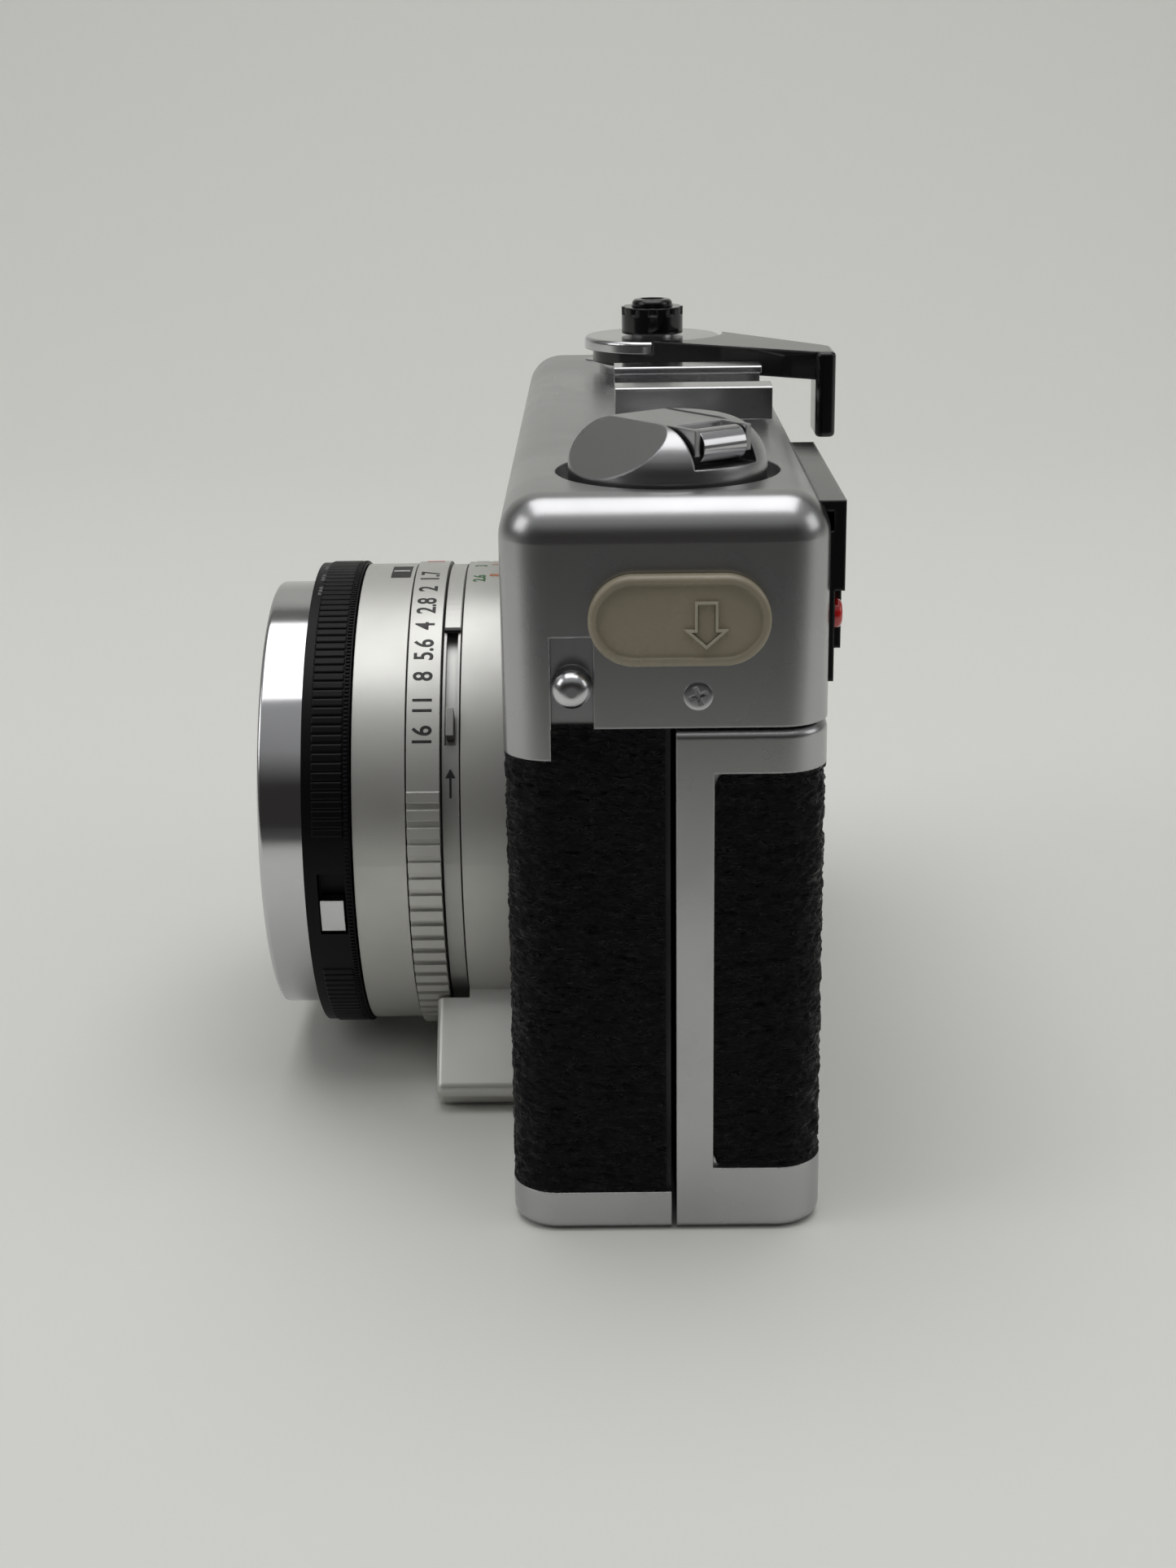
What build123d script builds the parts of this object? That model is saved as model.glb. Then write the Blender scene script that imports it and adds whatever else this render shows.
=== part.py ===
from build123d import *

# Compact 35 mm viewfinder camera with a fixed lens: shells, lens rings, controls and film path.
# X runs along the camera with the rewind end at +X, the lens looks along -Y, +Z is up, and the
# base stands on Z = 0. The lens axis crosses X = 0.
import os
from math import cos, radians, sin

os.makedirs("parts", exist_ok=True)

# ---- body ------------------------------------------------------------------------------
body_width = 108.0
body_depth = 30.0
body_height = 72.0
corner_radius = 4.5
base_height = 4.2
cover_bottom = 51.0
cover_wall = 1.0
cover_fillet = 4.0
base_wall = 0.9
base_fillet = 1.3
skin = 0.8
split_gap = 0.5
split_y = 0.4
panel_gap = 0.3
run_gap = 0.05
slide_gap = 0.1

half_width = body_width / 2
half_depth = body_depth / 2
front_y = -half_depth
back_y = half_depth
floor_seat = (Align.CENTER, Align.CENTER, Align.MIN)
high_seat = (Align.CENTER, Align.CENTER, Align.MAX)
low_corner = (Align.MIN, Align.MIN, Align.MIN)

# ---- top cover furniture ---------------------------------------------------------------
tongue_length = 12.0
tongue_depth = 4.5
tongue_drop = 3.0
lug_y = -8.5
lug_slot_width = 3.9
lug_slot_height = 8.5
lug_ball_radius = 1.8
lug_reach = 2.1
lug_plate = 1.2
lug_stud_z = cover_bottom + 4.0
well_margin = 1.2
well_depth = 1.6

# ---- rewind ----------------------------------------------------------------------------
knob_x = 39.0
knob_y = 0.6
knob_radius = 9.4
knob_height = 6.2
knob_lift = 0.4
knob_dome = 4.6
crank_angle = 37.0
crank_width = 6.6
crank_thickness = 1.7
crank_reach = 6.9
crank_hinge = -4.6
crank_depth = 2.0
roller_radius = 1.6
roller_length = 5.0
pin_radius = 0.6
shaft_radius = 2.0
shaft_bottom = 44.0
collar_radius = 3.6

# ---- advance lever and release ---------------------------------------------------------
lever_x = -33.5
lever_y = 0.8
post_radius = 3.0
post_bore = 1.8
lever_hub_radius = 7.4
lever_cap_radius = 8.4
lever_thickness = 3.2
lever_recess = 1.6
lever_cap_thickness = 1.4
post_flange = 1.2
pad_start = 14.8
pad_length = 7.2
pad_thickness = 2.3
pad_offset = 18.4
pad_height = 9.8
pad_low = 66.8
pad_edge = 0.5
button_radius = 2.5
button_travel = 1.2
collar_height = 3.2

# ---- shoe, windows, counter ------------------------------------------------------------
shoe_centre = -2.5
shoe_width = 21.6
shoe_length = 16.8
shoe_front = -4.1
shoe_base = 0.6
shoe_channel = 2.1
shoe_lip = 0.8
shoe_wall = 1.2
shoe_lip_width = 3.2
eyepiece_low_x = 16.4
eyepiece_high_x = 49.4
eyepiece_low_z = 54.0
eyepiece_high_z = 70.8
eyepiece_sill = 2.4
eyepiece_base = 0.5
eyepiece_plate = 0.9
window_x = 31.0
window_z = 62.4
window_width = 15.0
window_height = 9.0
bezel_low_x = -16.0
bezel_high_x = 42.0
bezel_low_z = 56.6
bezel_high_z = 67.6
bezel_half_height = 3.8
finder_half = 8.0
frame_window_x = 12.0
frame_window_half = 6.0
meter_window_x = -9.0
meter_window_half = 3.4
lamp_z = 60.1
lamp_radius = 1.35
counter_x = -45.5
counter_y = -2.0
counter_radius = 5.5
counter_window_radius = 2.0
counter_window_y = -5.6

# ---- film path -------------------------------------------------------------------------
chamber_radius = 12.8
chamber_floor = 5.6
chamber_roof = 49.4
spool_radius = 7.0
spool_flange = 9.6
takeup_radius = 12.0
gate_width = 17.0
gate_height = 24.0
rail_y = 10.0
sprocket_x = -15.5
sprocket_y = 5.0
sprocket_radius = 4.4
sprocket_teeth = 8
film_width = 35.0

# ---- back door -------------------------------------------------------------------------
door_wall = 1.2
door_top = cover_bottom - panel_gap
door_front = split_y + split_gap
door_cavity_top = door_top - door_wall
stub_radius = post_bore + 0.7
hinge_x = -52.4
hinge_y = 2.3
hinge_radius = 1.5
hinge_pin_radius = 0.6
hinge_relief = 0.6
door_frame = 3.5
door_skin = 0.6
door_skin_low = 6.7
door_skin_high = 46.6
plate_width = 38.0
plate_height = 36.0

# ---- latch -----------------------------------------------------------------------------
latch_y = 1.2
latch_z = 61.2
latch_length = 16.4
latch_height = 8.3
latch_thickness = 1.3
latch_rim = 0.8
latch_travel = 2.5
latch_stem = 3.0
latch_stem_width = 3.0
latch_stem_height = 2.4
hook_thickness = 1.0
hook_half_width = 2.4
screw_y = latch_y + 1.7
screw_z = 54.0
screw_core = 0.7
screw_head = 1.25
screw_sink = 0.6
screw_slot = 0.35

# ---- base furniture --------------------------------------------------------------------
socket_y = -7.3
socket_radius = 6.0
socket_bore = 2.55
socket_depth = 5.5
battery_x = 16.5
battery_radius = 5.8
battery_cap_radius = 6.6
release_x = -15.5
release_y = -5.0
release_radius = 1.8

# ---- lens ------------------------------------------------------------------------------
lens_height = 28.1
mount_radius = 22.8
mount_tube = 22.0
unit_radius = 20.5
throat_radius = 21.0
core_radius = 22.8
front_bore = 17.5
rear_bore = 18.0
aperture_hole = 7.6
focus_radius = 26.4
focus_back = -15.4
focus_front = -20.8
tab_angle = -48.0
tab_reach = 38.0
tab_front = -24.3
tab_back = -15.9
tab_half = 4.3
tab_floor = 0.5
band_radius = 25.8
band_front = -22.8
aperture_radius = 26.5
aperture_grip = 0.4
aperture_front = -26.5
index_radius = 26.3
index_front = -32.3
speed_radius = 26.5
speed_front = -37.6
chrome_radius = 24.4
chrome_front = -42.6
filter_radius = 23.0
name_radius = 22.6
ring_gap = 0.2
septum_front = -26.0
septum_back = -24.5
name_front = -39.8
glass_radius = 13.4
glass_crown = 1.9
glass_seat = 4.0
rear_glass_radius = 9.0
unit_back = -9.0
grip_ribs = 55
grip_start = -202.0
grip_sweep = 222.0
grip_width = 1.15
blade_thickness = 0.15
blade_pitch = 0.25
iris_blades = 4
iris_pivot = 12.0
timer_low = 28.0
timer_slot = 38.0
timer_angle = 33.0
film_low = -17.7
film_slot = 16.0
film_angle = -12.2
shutter_pivot = 11.5
blade_pin = 0.5


def lens_plane(y):
    """A plane square to the lens axis, seen from the front of the camera."""
    return Plane(origin=(0, y, lens_height), x_dir=(1, 0, 0), z_dir=(0, -1, 0))


def sector(y, inner, outer, start, sweep, depth):
    """A wedge of a ring about the lens axis, from y towards the front."""
    with BuildPart() as wedge:
        with BuildSketch(lens_plane(y)):
            with BuildLine():
                far_arc = CenterArc((0, 0), outer, start, sweep)
                near_arc = CenterArc((0, 0), inner, start, sweep)
                Line(far_arc @ 0, near_arc @ 0)
                Line(far_arc @ 1, near_arc @ 1)
            make_face()
        extrude(amount=depth)
    return wedge.part


def save(piece, name):
    """Label a finished piece and write its STEP file."""
    piece.part.label = name
    export_step(piece.part, "parts/" + name + ".step")


def span(low, high, mode=Mode.ADD):
    """A box between two corners."""
    size = [b - a for a, b in zip(low, high)]
    with Locations(low):
        return Box(*size, align=low_corner, mode=mode)


# ---- outer blocks shared by the casting, base, door and skins -----------------------------
with BuildPart() as outer_block:
    with BuildSketch():
        RectangleRounded(body_width, body_depth, corner_radius)
    extrude(amount=door_top)
    fillet(outer_block.faces().sort_by(Axis.Z)[0].edges(), base_fillet)
    fillet(outer_block.faces().sort_by(Axis.Z)[-1].edges(), skin)


def inner_block(inset, low, high):
    """The outer block's plan moved inwards, between two heights."""
    with BuildPart() as block:
        with BuildSketch(Plane.XY.offset(low)):
            RectangleRounded(body_width - 2 * inset, body_depth - 2 * inset, corner_radius - inset)
        extrude(amount=high - low)
    return block.part


casting_block = inner_block(skin, base_height, cover_bottom)
door_cavity = inner_block(door_wall, door_wall, door_top - door_wall)
base_cavity = inner_block(base_wall, base_wall, base_height)
full_block = inner_block(0, base_height, cover_bottom)

# ---- casting: front slab, centre block, chambers and throat --------------------------------
centre_low = sprocket_x - sprocket_radius - 1.2
centre_high = knob_x - chamber_radius - 0.8
knuckle_ranges = [(12.3, 21.7), (30.3, 39.7)]

with BuildPart() as body_casting:
    add(casting_block)
    span((-body_width, split_y, 0), (body_width, body_depth, body_height), Mode.SUBTRACT)
    span((centre_low, split_y, door_wall + 0.6), (centre_high, rail_y, door_top - door_wall - panel_gap))
    for centre, radius in (((knob_x, knob_y), chamber_radius), ((lever_x, lever_y), takeup_radius)):
        with BuildSketch(Plane.XY.offset(chamber_floor)):
            with Locations(centre):
                Circle(radius)
        extrude(amount=chamber_roof - chamber_floor, mode=Mode.SUBTRACT)
    with Locations(lens_plane(-6.0)):
        Cylinder(throat_radius, body_depth, align=floor_seat, mode=Mode.SUBTRACT)
    with BuildSketch(lens_plane(-6.0)):
        Rectangle(gate_width + 8, gate_height + 8)
    with BuildSketch(lens_plane(rail_y)):
        Rectangle(gate_width, gate_height)
    loft(mode=Mode.SUBTRACT)
    with BuildSketch(Plane.XY.offset(chamber_floor)):
        with Locations((sprocket_x, sprocket_y)):
            Circle(sprocket_radius + 0.9)
    extrude(amount=chamber_roof - chamber_floor, mode=Mode.SUBTRACT)
    with Locations((knob_x, knob_y, chamber_roof - 1)):
        Cylinder(shaft_radius + 0.6, 5, align=floor_seat, mode=Mode.SUBTRACT)
    with Locations((lever_x, lever_y, chamber_roof - 1)):
        Cylinder(stub_radius + slide_gap, 5, align=floor_seat, mode=Mode.SUBTRACT)
    with Locations((sprocket_x, sprocket_y, chamber_floor - 2.6)):
        Cylinder(1.2 + run_gap, 3, align=floor_seat, mode=Mode.SUBTRACT)
    with Locations((0, socket_y, base_height)):
        Cylinder(socket_radius, 2.0, align=floor_seat, mode=Mode.SUBTRACT)
    with Locations((battery_x, socket_y, base_height)):
        Cylinder(battery_radius + 0.2, 3.4, align=floor_seat, mode=Mode.SUBTRACT)
    with Locations((release_x, release_y, base_height)):
        Cylinder(release_radius + 0.2, 3.0, align=floor_seat, mode=Mode.SUBTRACT)
    span((-body_width, split_y - hinge_relief, 0), (hinge_x, body_depth, body_height), Mode.SUBTRACT)
    for low, high in knuckle_ranges:
        with Locations((hinge_x, hinge_y, low)):
            Cylinder(hinge_radius, high - low, align=floor_seat)
        span((hinge_x, split_y, low), (hinge_x + 1.9, hinge_y, high))
        with Locations((hinge_x, hinge_y, low)):
            Cylinder(hinge_pin_radius, high - low, align=floor_seat, mode=Mode.SUBTRACT)
save(body_casting, "body_casting")

# ---- base plate, tripod socket, battery and rewind release ------------------------------------
with BuildPart() as base_plate:
    add(outer_block.part)
    span((-body_width, split_y, -1), (body_width, body_depth, body_height), Mode.SUBTRACT)
    span((-body_width, -body_depth, base_height), (body_width, body_depth, body_height), Mode.SUBTRACT)
    add(base_cavity, mode=Mode.SUBTRACT)
    span((-body_width, split_y - hinge_relief, 0), (hinge_x, body_depth, base_height), Mode.SUBTRACT)
    span((-half_width + corner_radius, split_y - base_wall, base_wall),
         (half_width - corner_radius, split_y, base_height))
    with Locations((0, socket_y, 0)):
        Cylinder(socket_radius, base_wall, align=floor_seat, mode=Mode.SUBTRACT)
    with Locations((battery_x, socket_y, 0)):
        Cylinder(battery_cap_radius + run_gap, base_wall, align=floor_seat, mode=Mode.SUBTRACT)
    with Locations((release_x, release_y, 0)):
        Cylinder(release_radius + slide_gap, base_wall, align=floor_seat, mode=Mode.SUBTRACT)
save(base_plate, "base_plate")

with BuildPart() as tripod_socket:
    with Locations((0, socket_y, 0)):
        Cylinder(socket_radius, base_height + 2.0, align=floor_seat)
        Cylinder(socket_bore, socket_depth, align=floor_seat, mode=Mode.SUBTRACT)
    chamfer(tripod_socket.faces().sort_by(Axis.Z)[0].edges().sort_by(SortBy.RADIUS)[0], 0.4)
save(tripod_socket, "tripod_socket")

with BuildPart() as battery_cover:
    with Locations((battery_x, socket_y, 0)):
        Cylinder(battery_cap_radius, 1.4, align=floor_seat)
        Box(9.0, 1.3, 1.2, align=floor_seat, mode=Mode.SUBTRACT)
    chamfer(battery_cover.faces().sort_by(Axis.Z)[-1].edges(), 0.2)
save(battery_cover, "battery_cover")

with BuildPart() as battery_cell:
    with Locations((battery_x, socket_y, 1.7)):
        Cylinder(battery_radius, 5.4, align=floor_seat)
    fillet(battery_cell.edges().filter_by(GeomType.CIRCLE), 0.5)
save(battery_cell, "battery_cell")

with BuildPart() as rewind_release_button:
    with Locations((release_x, release_y, 0.2)):
        Cylinder(release_radius, 5.0, align=floor_seat)
    fillet(rewind_release_button.faces().sort_by(Axis.Z)[0].edges(), 0.4)
save(rewind_release_button, "rewind_release_button")

# ---- top cover ----------------------------------------------------------------------------
with BuildPart() as cover_cavity:
    with BuildSketch(Plane.XY.offset(cover_bottom - tongue_drop - 1)):
        RectangleRounded(body_width - 2 * cover_wall, body_depth - 2 * cover_wall, corner_radius - cover_wall)
    extrude(amount=body_height - cover_wall - cover_bottom + tongue_drop + 1)
    fillet(cover_cavity.faces().sort_by(Axis.Z)[-1].edges(), cover_fillet - cover_wall)

well_radius = knob_radius + well_margin
well_floor = body_height - well_depth

with BuildPart() as cover_block:
    with BuildSketch(Plane.XY.offset(cover_bottom - tongue_drop)):
        RectangleRounded(body_width, body_depth, corner_radius)
    extrude(amount=body_height - cover_bottom + tongue_drop)
    fillet(cover_block.faces().sort_by(Axis.Z)[-1].edges(), cover_fillet)

with BuildPart() as top_cover:
    add(cover_block.part)
    add(cover_cavity.part, mode=Mode.SUBTRACT)
    add(casting_block, mode=Mode.SUBTRACT)
    span((tongue_length - half_width, -body_depth, 0),
         (half_width - tongue_length, body_depth, cover_bottom), Mode.SUBTRACT)
    span((-body_width, front_y + tongue_depth, 0), (body_width, body_depth, cover_bottom), Mode.SUBTRACT)
    with Locations((knob_x, knob_y, well_floor - cover_wall)):
        Cylinder(well_radius + cover_wall, well_depth, align=floor_seat)
    with Locations((knob_x, knob_y, well_floor)):
        Cylinder(well_radius, body_height, align=floor_seat, mode=Mode.SUBTRACT)
    with Locations((knob_x, knob_y, cover_bottom)):
        Cylinder(shaft_radius + 0.6, body_height, align=floor_seat, mode=Mode.SUBTRACT)
    with Locations((lever_x, lever_y, cover_bottom)):
        Cylinder(post_radius, body_height, align=floor_seat, mode=Mode.SUBTRACT)
    with Locations((counter_x, counter_window_y, cover_bottom)):
        Cylinder(counter_window_radius, body_height, align=floor_seat, mode=Mode.SUBTRACT)
    for side in (-1, 1):
        with Locations((side * half_width, lug_y, cover_bottom)):
            Box(8, lug_slot_width, lug_slot_height, align=floor_seat, mode=Mode.SUBTRACT)
        with Locations(Plane(origin=(side * half_width, screw_y, screw_z), z_dir=(side, 0, 0))):
            Cylinder(screw_core, 6, mode=Mode.SUBTRACT)
            Cone(screw_core, screw_head, screw_sink, align=high_seat, mode=Mode.SUBTRACT)
    span((half_width - 2 * cover_wall, latch_y - latch_stem_width / 2 - 2 * slide_gap,
          latch_z - latch_stem_height / 2 - latch_travel - 2 * slide_gap),
         (half_width + 1, latch_y + latch_stem_width / 2 + 2 * slide_gap,
          latch_z + latch_stem_height / 2 + 2 * slide_gap), Mode.SUBTRACT)
    span((window_x - window_width / 2, back_y - 2, window_z - window_height / 2),
         (window_x + window_width / 2, back_y + 1, window_z + window_height / 2), Mode.SUBTRACT)
    span((bezel_low_x, front_y - 1, bezel_low_z), (bezel_high_x, front_y + 2, bezel_high_z), Mode.SUBTRACT)
save(top_cover, "top_cover")

with BuildPart() as strap_lugs:
    for side in (-1, 1):
        with Locations((side * (half_width - 1.6), lug_y, cover_bottom)):
            Box(lug_plate, lug_slot_width, lug_slot_height, align=floor_seat)
        stud_root = (side * (half_width - lug_plate), lug_y, lug_stud_z)
        with Locations(Plane(origin=stud_root, z_dir=(side, 0, 0))):
            Cylinder(lug_ball_radius, lug_reach + lug_plate, align=floor_seat)
    for end in (0, -1):
        fillet(strap_lugs.faces().sort_by(Axis.X)[end].edges(), 1.3)
save(strap_lugs, "strap_lugs")

with BuildPart() as cover_screws:
    for side in (-1, 1):
        with Locations(Plane(origin=(side * half_width, screw_y, screw_z), z_dir=(side, 0, 0))):
            Cone(screw_core, screw_head, screw_sink, align=high_seat)
            with Locations((0, 0, -screw_sink)):
                Cylinder(screw_core, 2 * screw_core, align=high_seat)
            Box(screw_head, screw_slot, screw_sink, mode=Mode.SUBTRACT)
            Box(screw_slot, screw_head, screw_sink, mode=Mode.SUBTRACT)
save(cover_screws, "cover_screws")

# ---- leatherette on the front half -----------------------------------------------------------
skin_edge = split_y - panel_gap - 0.2

with BuildPart() as front_leatherette:
    add(full_block)
    add(inner_block(skin, 0, body_height), mode=Mode.SUBTRACT)
    span((-body_width, skin_edge, 0), (body_width, body_depth, body_height), Mode.SUBTRACT)
    for side in (-1, 1):
        with Locations((side * half_width, front_y, cover_bottom - tongue_drop)):
            Box(2 * tongue_length, 2 * tongue_depth, 10, align=floor_seat, mode=Mode.SUBTRACT)
    with Locations(lens_plane(0)):
        Cylinder(mount_radius, body_depth, align=floor_seat, mode=Mode.SUBTRACT)
save(front_leatherette, "front_leatherette")

# ---- door latch --------------------------------------------------------------------------
latch_plane = Plane(origin=(half_width + slide_gap, latch_y, latch_z), x_dir=(0, 1, 0), z_dir=(1, 0, 0))

with BuildPart(latch_plane) as door_latch:
    with BuildSketch(latch_plane):
        SlotOverall(latch_length, latch_height)
    extrude(amount=latch_thickness)
    fillet(door_latch.faces().sort_by(Axis.X)[-1].edges(), 0.5)
    with BuildSketch(latch_plane.offset(latch_thickness)):
        SlotOverall(latch_length - 2 * latch_rim, latch_height - 2 * latch_rim)
    extrude(amount=-0.3, mode=Mode.SUBTRACT)
    with BuildSketch(latch_plane):
        Rectangle(latch_stem_width, latch_stem_height)
    extrude(amount=-latch_stem - slide_gap)
save(door_latch, "door_latch")

with BuildPart() as latch_hook:
    span((half_width - latch_stem - hook_thickness, latch_y - hook_half_width,
          cover_bottom + latch_travel + panel_gap),
         (half_width - latch_stem, latch_y + hook_half_width, latch_z + hook_half_width))
save(latch_hook, "latch_hook")

# ---- back door ----------------------------------------------------------------------------
with BuildPart() as door_panel:
    with BuildSketch(Plane.XZ):
        with Locations(((hinge_x + 2.9 + half_width + 10) / 2, (door_skin_low + door_skin_high) / 2)):
            RectangleRounded(half_width + 10 - hinge_x - 2.9, door_skin_high - door_skin_low, 1.6)
    extrude(amount=-body_depth)
    span((-body_width, -1, 0), (body_width, door_front + door_frame, body_height), Mode.SUBTRACT)
    add(inner_block(door_skin, 0, body_height), mode=Mode.SUBTRACT)
    add(inner_block(0, 0, body_height), mode=Mode.INTERSECT)

with BuildPart() as back_door:
    add(outer_block.part)
    span((-body_width, -body_depth, -1), (body_width, door_front, body_height), Mode.SUBTRACT)
    add(door_cavity, mode=Mode.SUBTRACT)
    span((-body_width, 0, -1), (hinge_x + hinge_radius, hinge_y, body_height), Mode.SUBTRACT)
    add(door_panel.part, mode=Mode.SUBTRACT)
    for x, y, radius in ((knob_x, knob_y, shaft_radius), (lever_x, lever_y, stub_radius)):
        with Locations((x, y, door_cavity_top)):
            Cylinder(radius + 1.0, 2 * door_wall, align=floor_seat, mode=Mode.SUBTRACT)
    with Locations((hinge_x, hinge_y, door_wall)):
        Cylinder(hinge_radius, door_top - 2 * door_wall, align=floor_seat)
    for low, high in knuckle_ranges:
        with Locations((hinge_x, hinge_y, low - panel_gap)):
            Cylinder(hinge_radius + panel_gap, high - low + 2 * panel_gap, align=floor_seat,
                     mode=Mode.SUBTRACT)
    with Locations((hinge_x, hinge_y, 0)):
        Cylinder(hinge_pin_radius + 0.04, body_height, align=floor_seat, mode=Mode.SUBTRACT)
save(back_door, "back_door")

with BuildPart() as door_leatherette:
    add(door_panel.part)
save(door_leatherette, "door_leatherette")

with BuildPart() as hinge_pin:
    with Locations((hinge_x, hinge_y, 0.5)):
        Cylinder(hinge_pin_radius, door_top - 1.0, align=floor_seat)
save(hinge_pin, "hinge_pin")

with BuildPart() as pressure_plate:
    with BuildSketch(lens_plane(rail_y + 0.3)):
        RectangleRounded(plate_width, plate_height, 2.0)
    extrude(amount=-1.0)
save(pressure_plate, "pressure_plate")

spring_room = back_y - door_wall - rail_y - 1.3
with BuildPart() as pressure_spring:
    for row in (-8, 8):
        with Locations((0, back_y - door_wall, lens_height + row)):
            Box(30, 0.4, 5, align=(Align.CENTER, Align.MAX, Align.CENTER))
        for side in (-1, 1):
            with Locations((side * 14.2, back_y - door_wall, lens_height + row)):
                Box(1.6, spring_room - 0.8, 5, align=(Align.CENTER, Align.MAX, Align.CENTER))
save(pressure_spring, "pressure_spring")

# ---- film transport -------------------------------------------------------------------------
with BuildPart() as takeup_spool:
    with Locations((lever_x, lever_y, chamber_floor + 0.4)):
        Cylinder(spool_flange, 1.2, align=floor_seat)
        Cylinder(spool_radius, chamber_roof - chamber_floor - 0.8, align=floor_seat)
    with Locations((lever_x, lever_y, chamber_roof - 1.6)):
        Cylinder(spool_flange, 1.2, align=floor_seat)
        Cylinder(stub_radius, 2.8, align=floor_seat)
    for turn in (0, 120, 240):
        with Locations(Plane(origin=(lever_x, lever_y, lens_height)).rotated((0, 0, turn))):
            with Locations((spool_radius, 0, 0)):
                Box(3, 1.2, film_width - 6, mode=Mode.SUBTRACT)
save(takeup_spool, "takeup_spool")

with BuildPart() as film_sprocket:
    with Locations((sprocket_x, sprocket_y, chamber_floor - 2.0)):
        Cylinder(1.2, chamber_roof - chamber_floor + 1.6, align=floor_seat)
    with Locations((sprocket_x, sprocket_y, chamber_floor + 0.6)):
        Cylinder(sprocket_radius - 1.4, chamber_roof - chamber_floor - 1.2, align=floor_seat)
    for level in (-1, 1):
        with Locations((sprocket_x, sprocket_y, lens_height + level * (film_width / 2 - 2.0))):
            Cylinder(sprocket_radius, 3.2)
            with PolarLocations(sprocket_radius, sprocket_teeth):
                Box(1.2, 1.0, 1.6)
save(film_sprocket, "film_sprocket")

with BuildPart() as counter_dial:
    with Locations((counter_x, counter_y, body_height - cover_wall - 1.2)):
        Cylinder(counter_radius, 0.6, align=floor_seat)
    with Locations((counter_x, counter_y, cover_bottom + 0.2)):
        Cylinder(1.5, body_height - cover_bottom - cover_wall - 1.2, align=floor_seat)
save(counter_dial, "counter_dial")

with BuildPart() as counter_window:
    with Locations((counter_x, counter_window_y, body_height - cover_wall)):
        Cylinder(counter_window_radius, cover_wall + 0.1, align=floor_seat)
save(counter_window, "counter_window")

# ---- advance lever and shutter release -----------------------------------------------------
lever_low = body_height + post_flange + ring_gap
cap_low = lever_low + lever_recess
collar_low = cap_low + lever_cap_thickness + panel_gap

with BuildPart() as lever_post:
    with Locations((lever_x, lever_y, cover_bottom)):
        Cylinder(post_radius, collar_low + 0.5 - cover_bottom, align=floor_seat)
    with Locations((lever_x, lever_y, body_height)):
        Cylinder(lever_hub_radius - 0.8, post_flange, align=floor_seat)
    with Locations((lever_x, lever_y, cover_bottom)):
        Cylinder(post_bore, body_height, align=floor_seat, mode=Mode.SUBTRACT)
save(lever_post, "lever_post")

with BuildPart() as advance_lever:
    with BuildSketch(Plane.XY.offset(lever_low)):
        with Locations((lever_x, lever_y)):
            Circle(lever_hub_radius)
        with Locations((lever_x + pad_start, lever_y + pad_offset)):
            Rectangle(pad_length - 0.8, pad_thickness - 0.8, align=(Align.MIN, Align.MIN))
        make_hull()
    extrude(amount=lever_thickness)
    with Locations((lever_x, lever_y, 0)):
        Cylinder(post_radius + run_gap, body_height * 2, align=floor_seat, mode=Mode.SUBTRACT)
    with Locations((lever_x, lever_y, cap_low)):
        Cylinder(lever_cap_radius + panel_gap, lever_thickness, align=floor_seat, mode=Mode.SUBTRACT)
save(advance_lever, "advance_lever")

with BuildPart() as lever_tip:
    with BuildSketch(Plane.XY.offset(pad_low)):
        with Locations((lever_x + pad_start, lever_y + pad_offset)):
            RectangleRounded(pad_length, pad_thickness, 0.8, align=(Align.MIN, Align.MIN))
    extrude(amount=pad_height)
    for end in (0, -1):
        fillet(lever_tip.faces().sort_by(Axis.Z)[end].edges(), pad_edge)
    add(advance_lever.part, mode=Mode.SUBTRACT)
save(lever_tip, "lever_tip")

with BuildPart() as lever_cap:
    with Locations((lever_x, lever_y, cap_low)):
        Cylinder(lever_cap_radius, lever_cap_thickness, align=floor_seat)
    fillet(lever_cap.faces().sort_by(Axis.Z)[-1].edges(), 0.5)
    with Locations((lever_x, lever_y, 0)):
        Cylinder(post_radius + run_gap, body_height * 2, align=floor_seat, mode=Mode.SUBTRACT)
save(lever_cap, "lever_cap")

with BuildPart() as release_collar:
    with Locations((lever_x, lever_y, collar_low)):
        Cylinder(post_radius + 0.8, collar_height, align=floor_seat)
    with Locations((lever_x, lever_y, collar_low)):
        Cylinder(button_radius + slide_gap, collar_height, align=floor_seat, mode=Mode.SUBTRACT)
        Cylinder(post_radius, 0.5, align=floor_seat, mode=Mode.SUBTRACT)
    with Locations((lever_x, lever_y, collar_low + collar_height - 0.9)):
        with PolarLocations(post_radius + 1.3, 10):
            Cylinder(0.8, 2, align=floor_seat, mode=Mode.SUBTRACT)
save(release_collar, "release_collar")

button_low = collar_low + 0.5 + button_travel + slide_gap
button_high = collar_low + collar_height + 0.9

with BuildPart() as shutter_button:
    with Locations((lever_x, lever_y, button_low)):
        Cylinder(button_radius, button_high - button_low, align=floor_seat)
    fillet(shutter_button.faces().sort_by(Axis.Z)[-1].edges(), 0.6)
    with Locations((lever_x, lever_y, cover_bottom + 2.0)):
        Cylinder(post_bore - slide_gap, button_low - cover_bottom - 2.0, align=floor_seat)
    with Locations((lever_x, lever_y, button_high - 2.0)):
        Cylinder(1.45, 3.0, align=floor_seat, mode=Mode.SUBTRACT)
save(shutter_button, "shutter_button")

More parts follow.
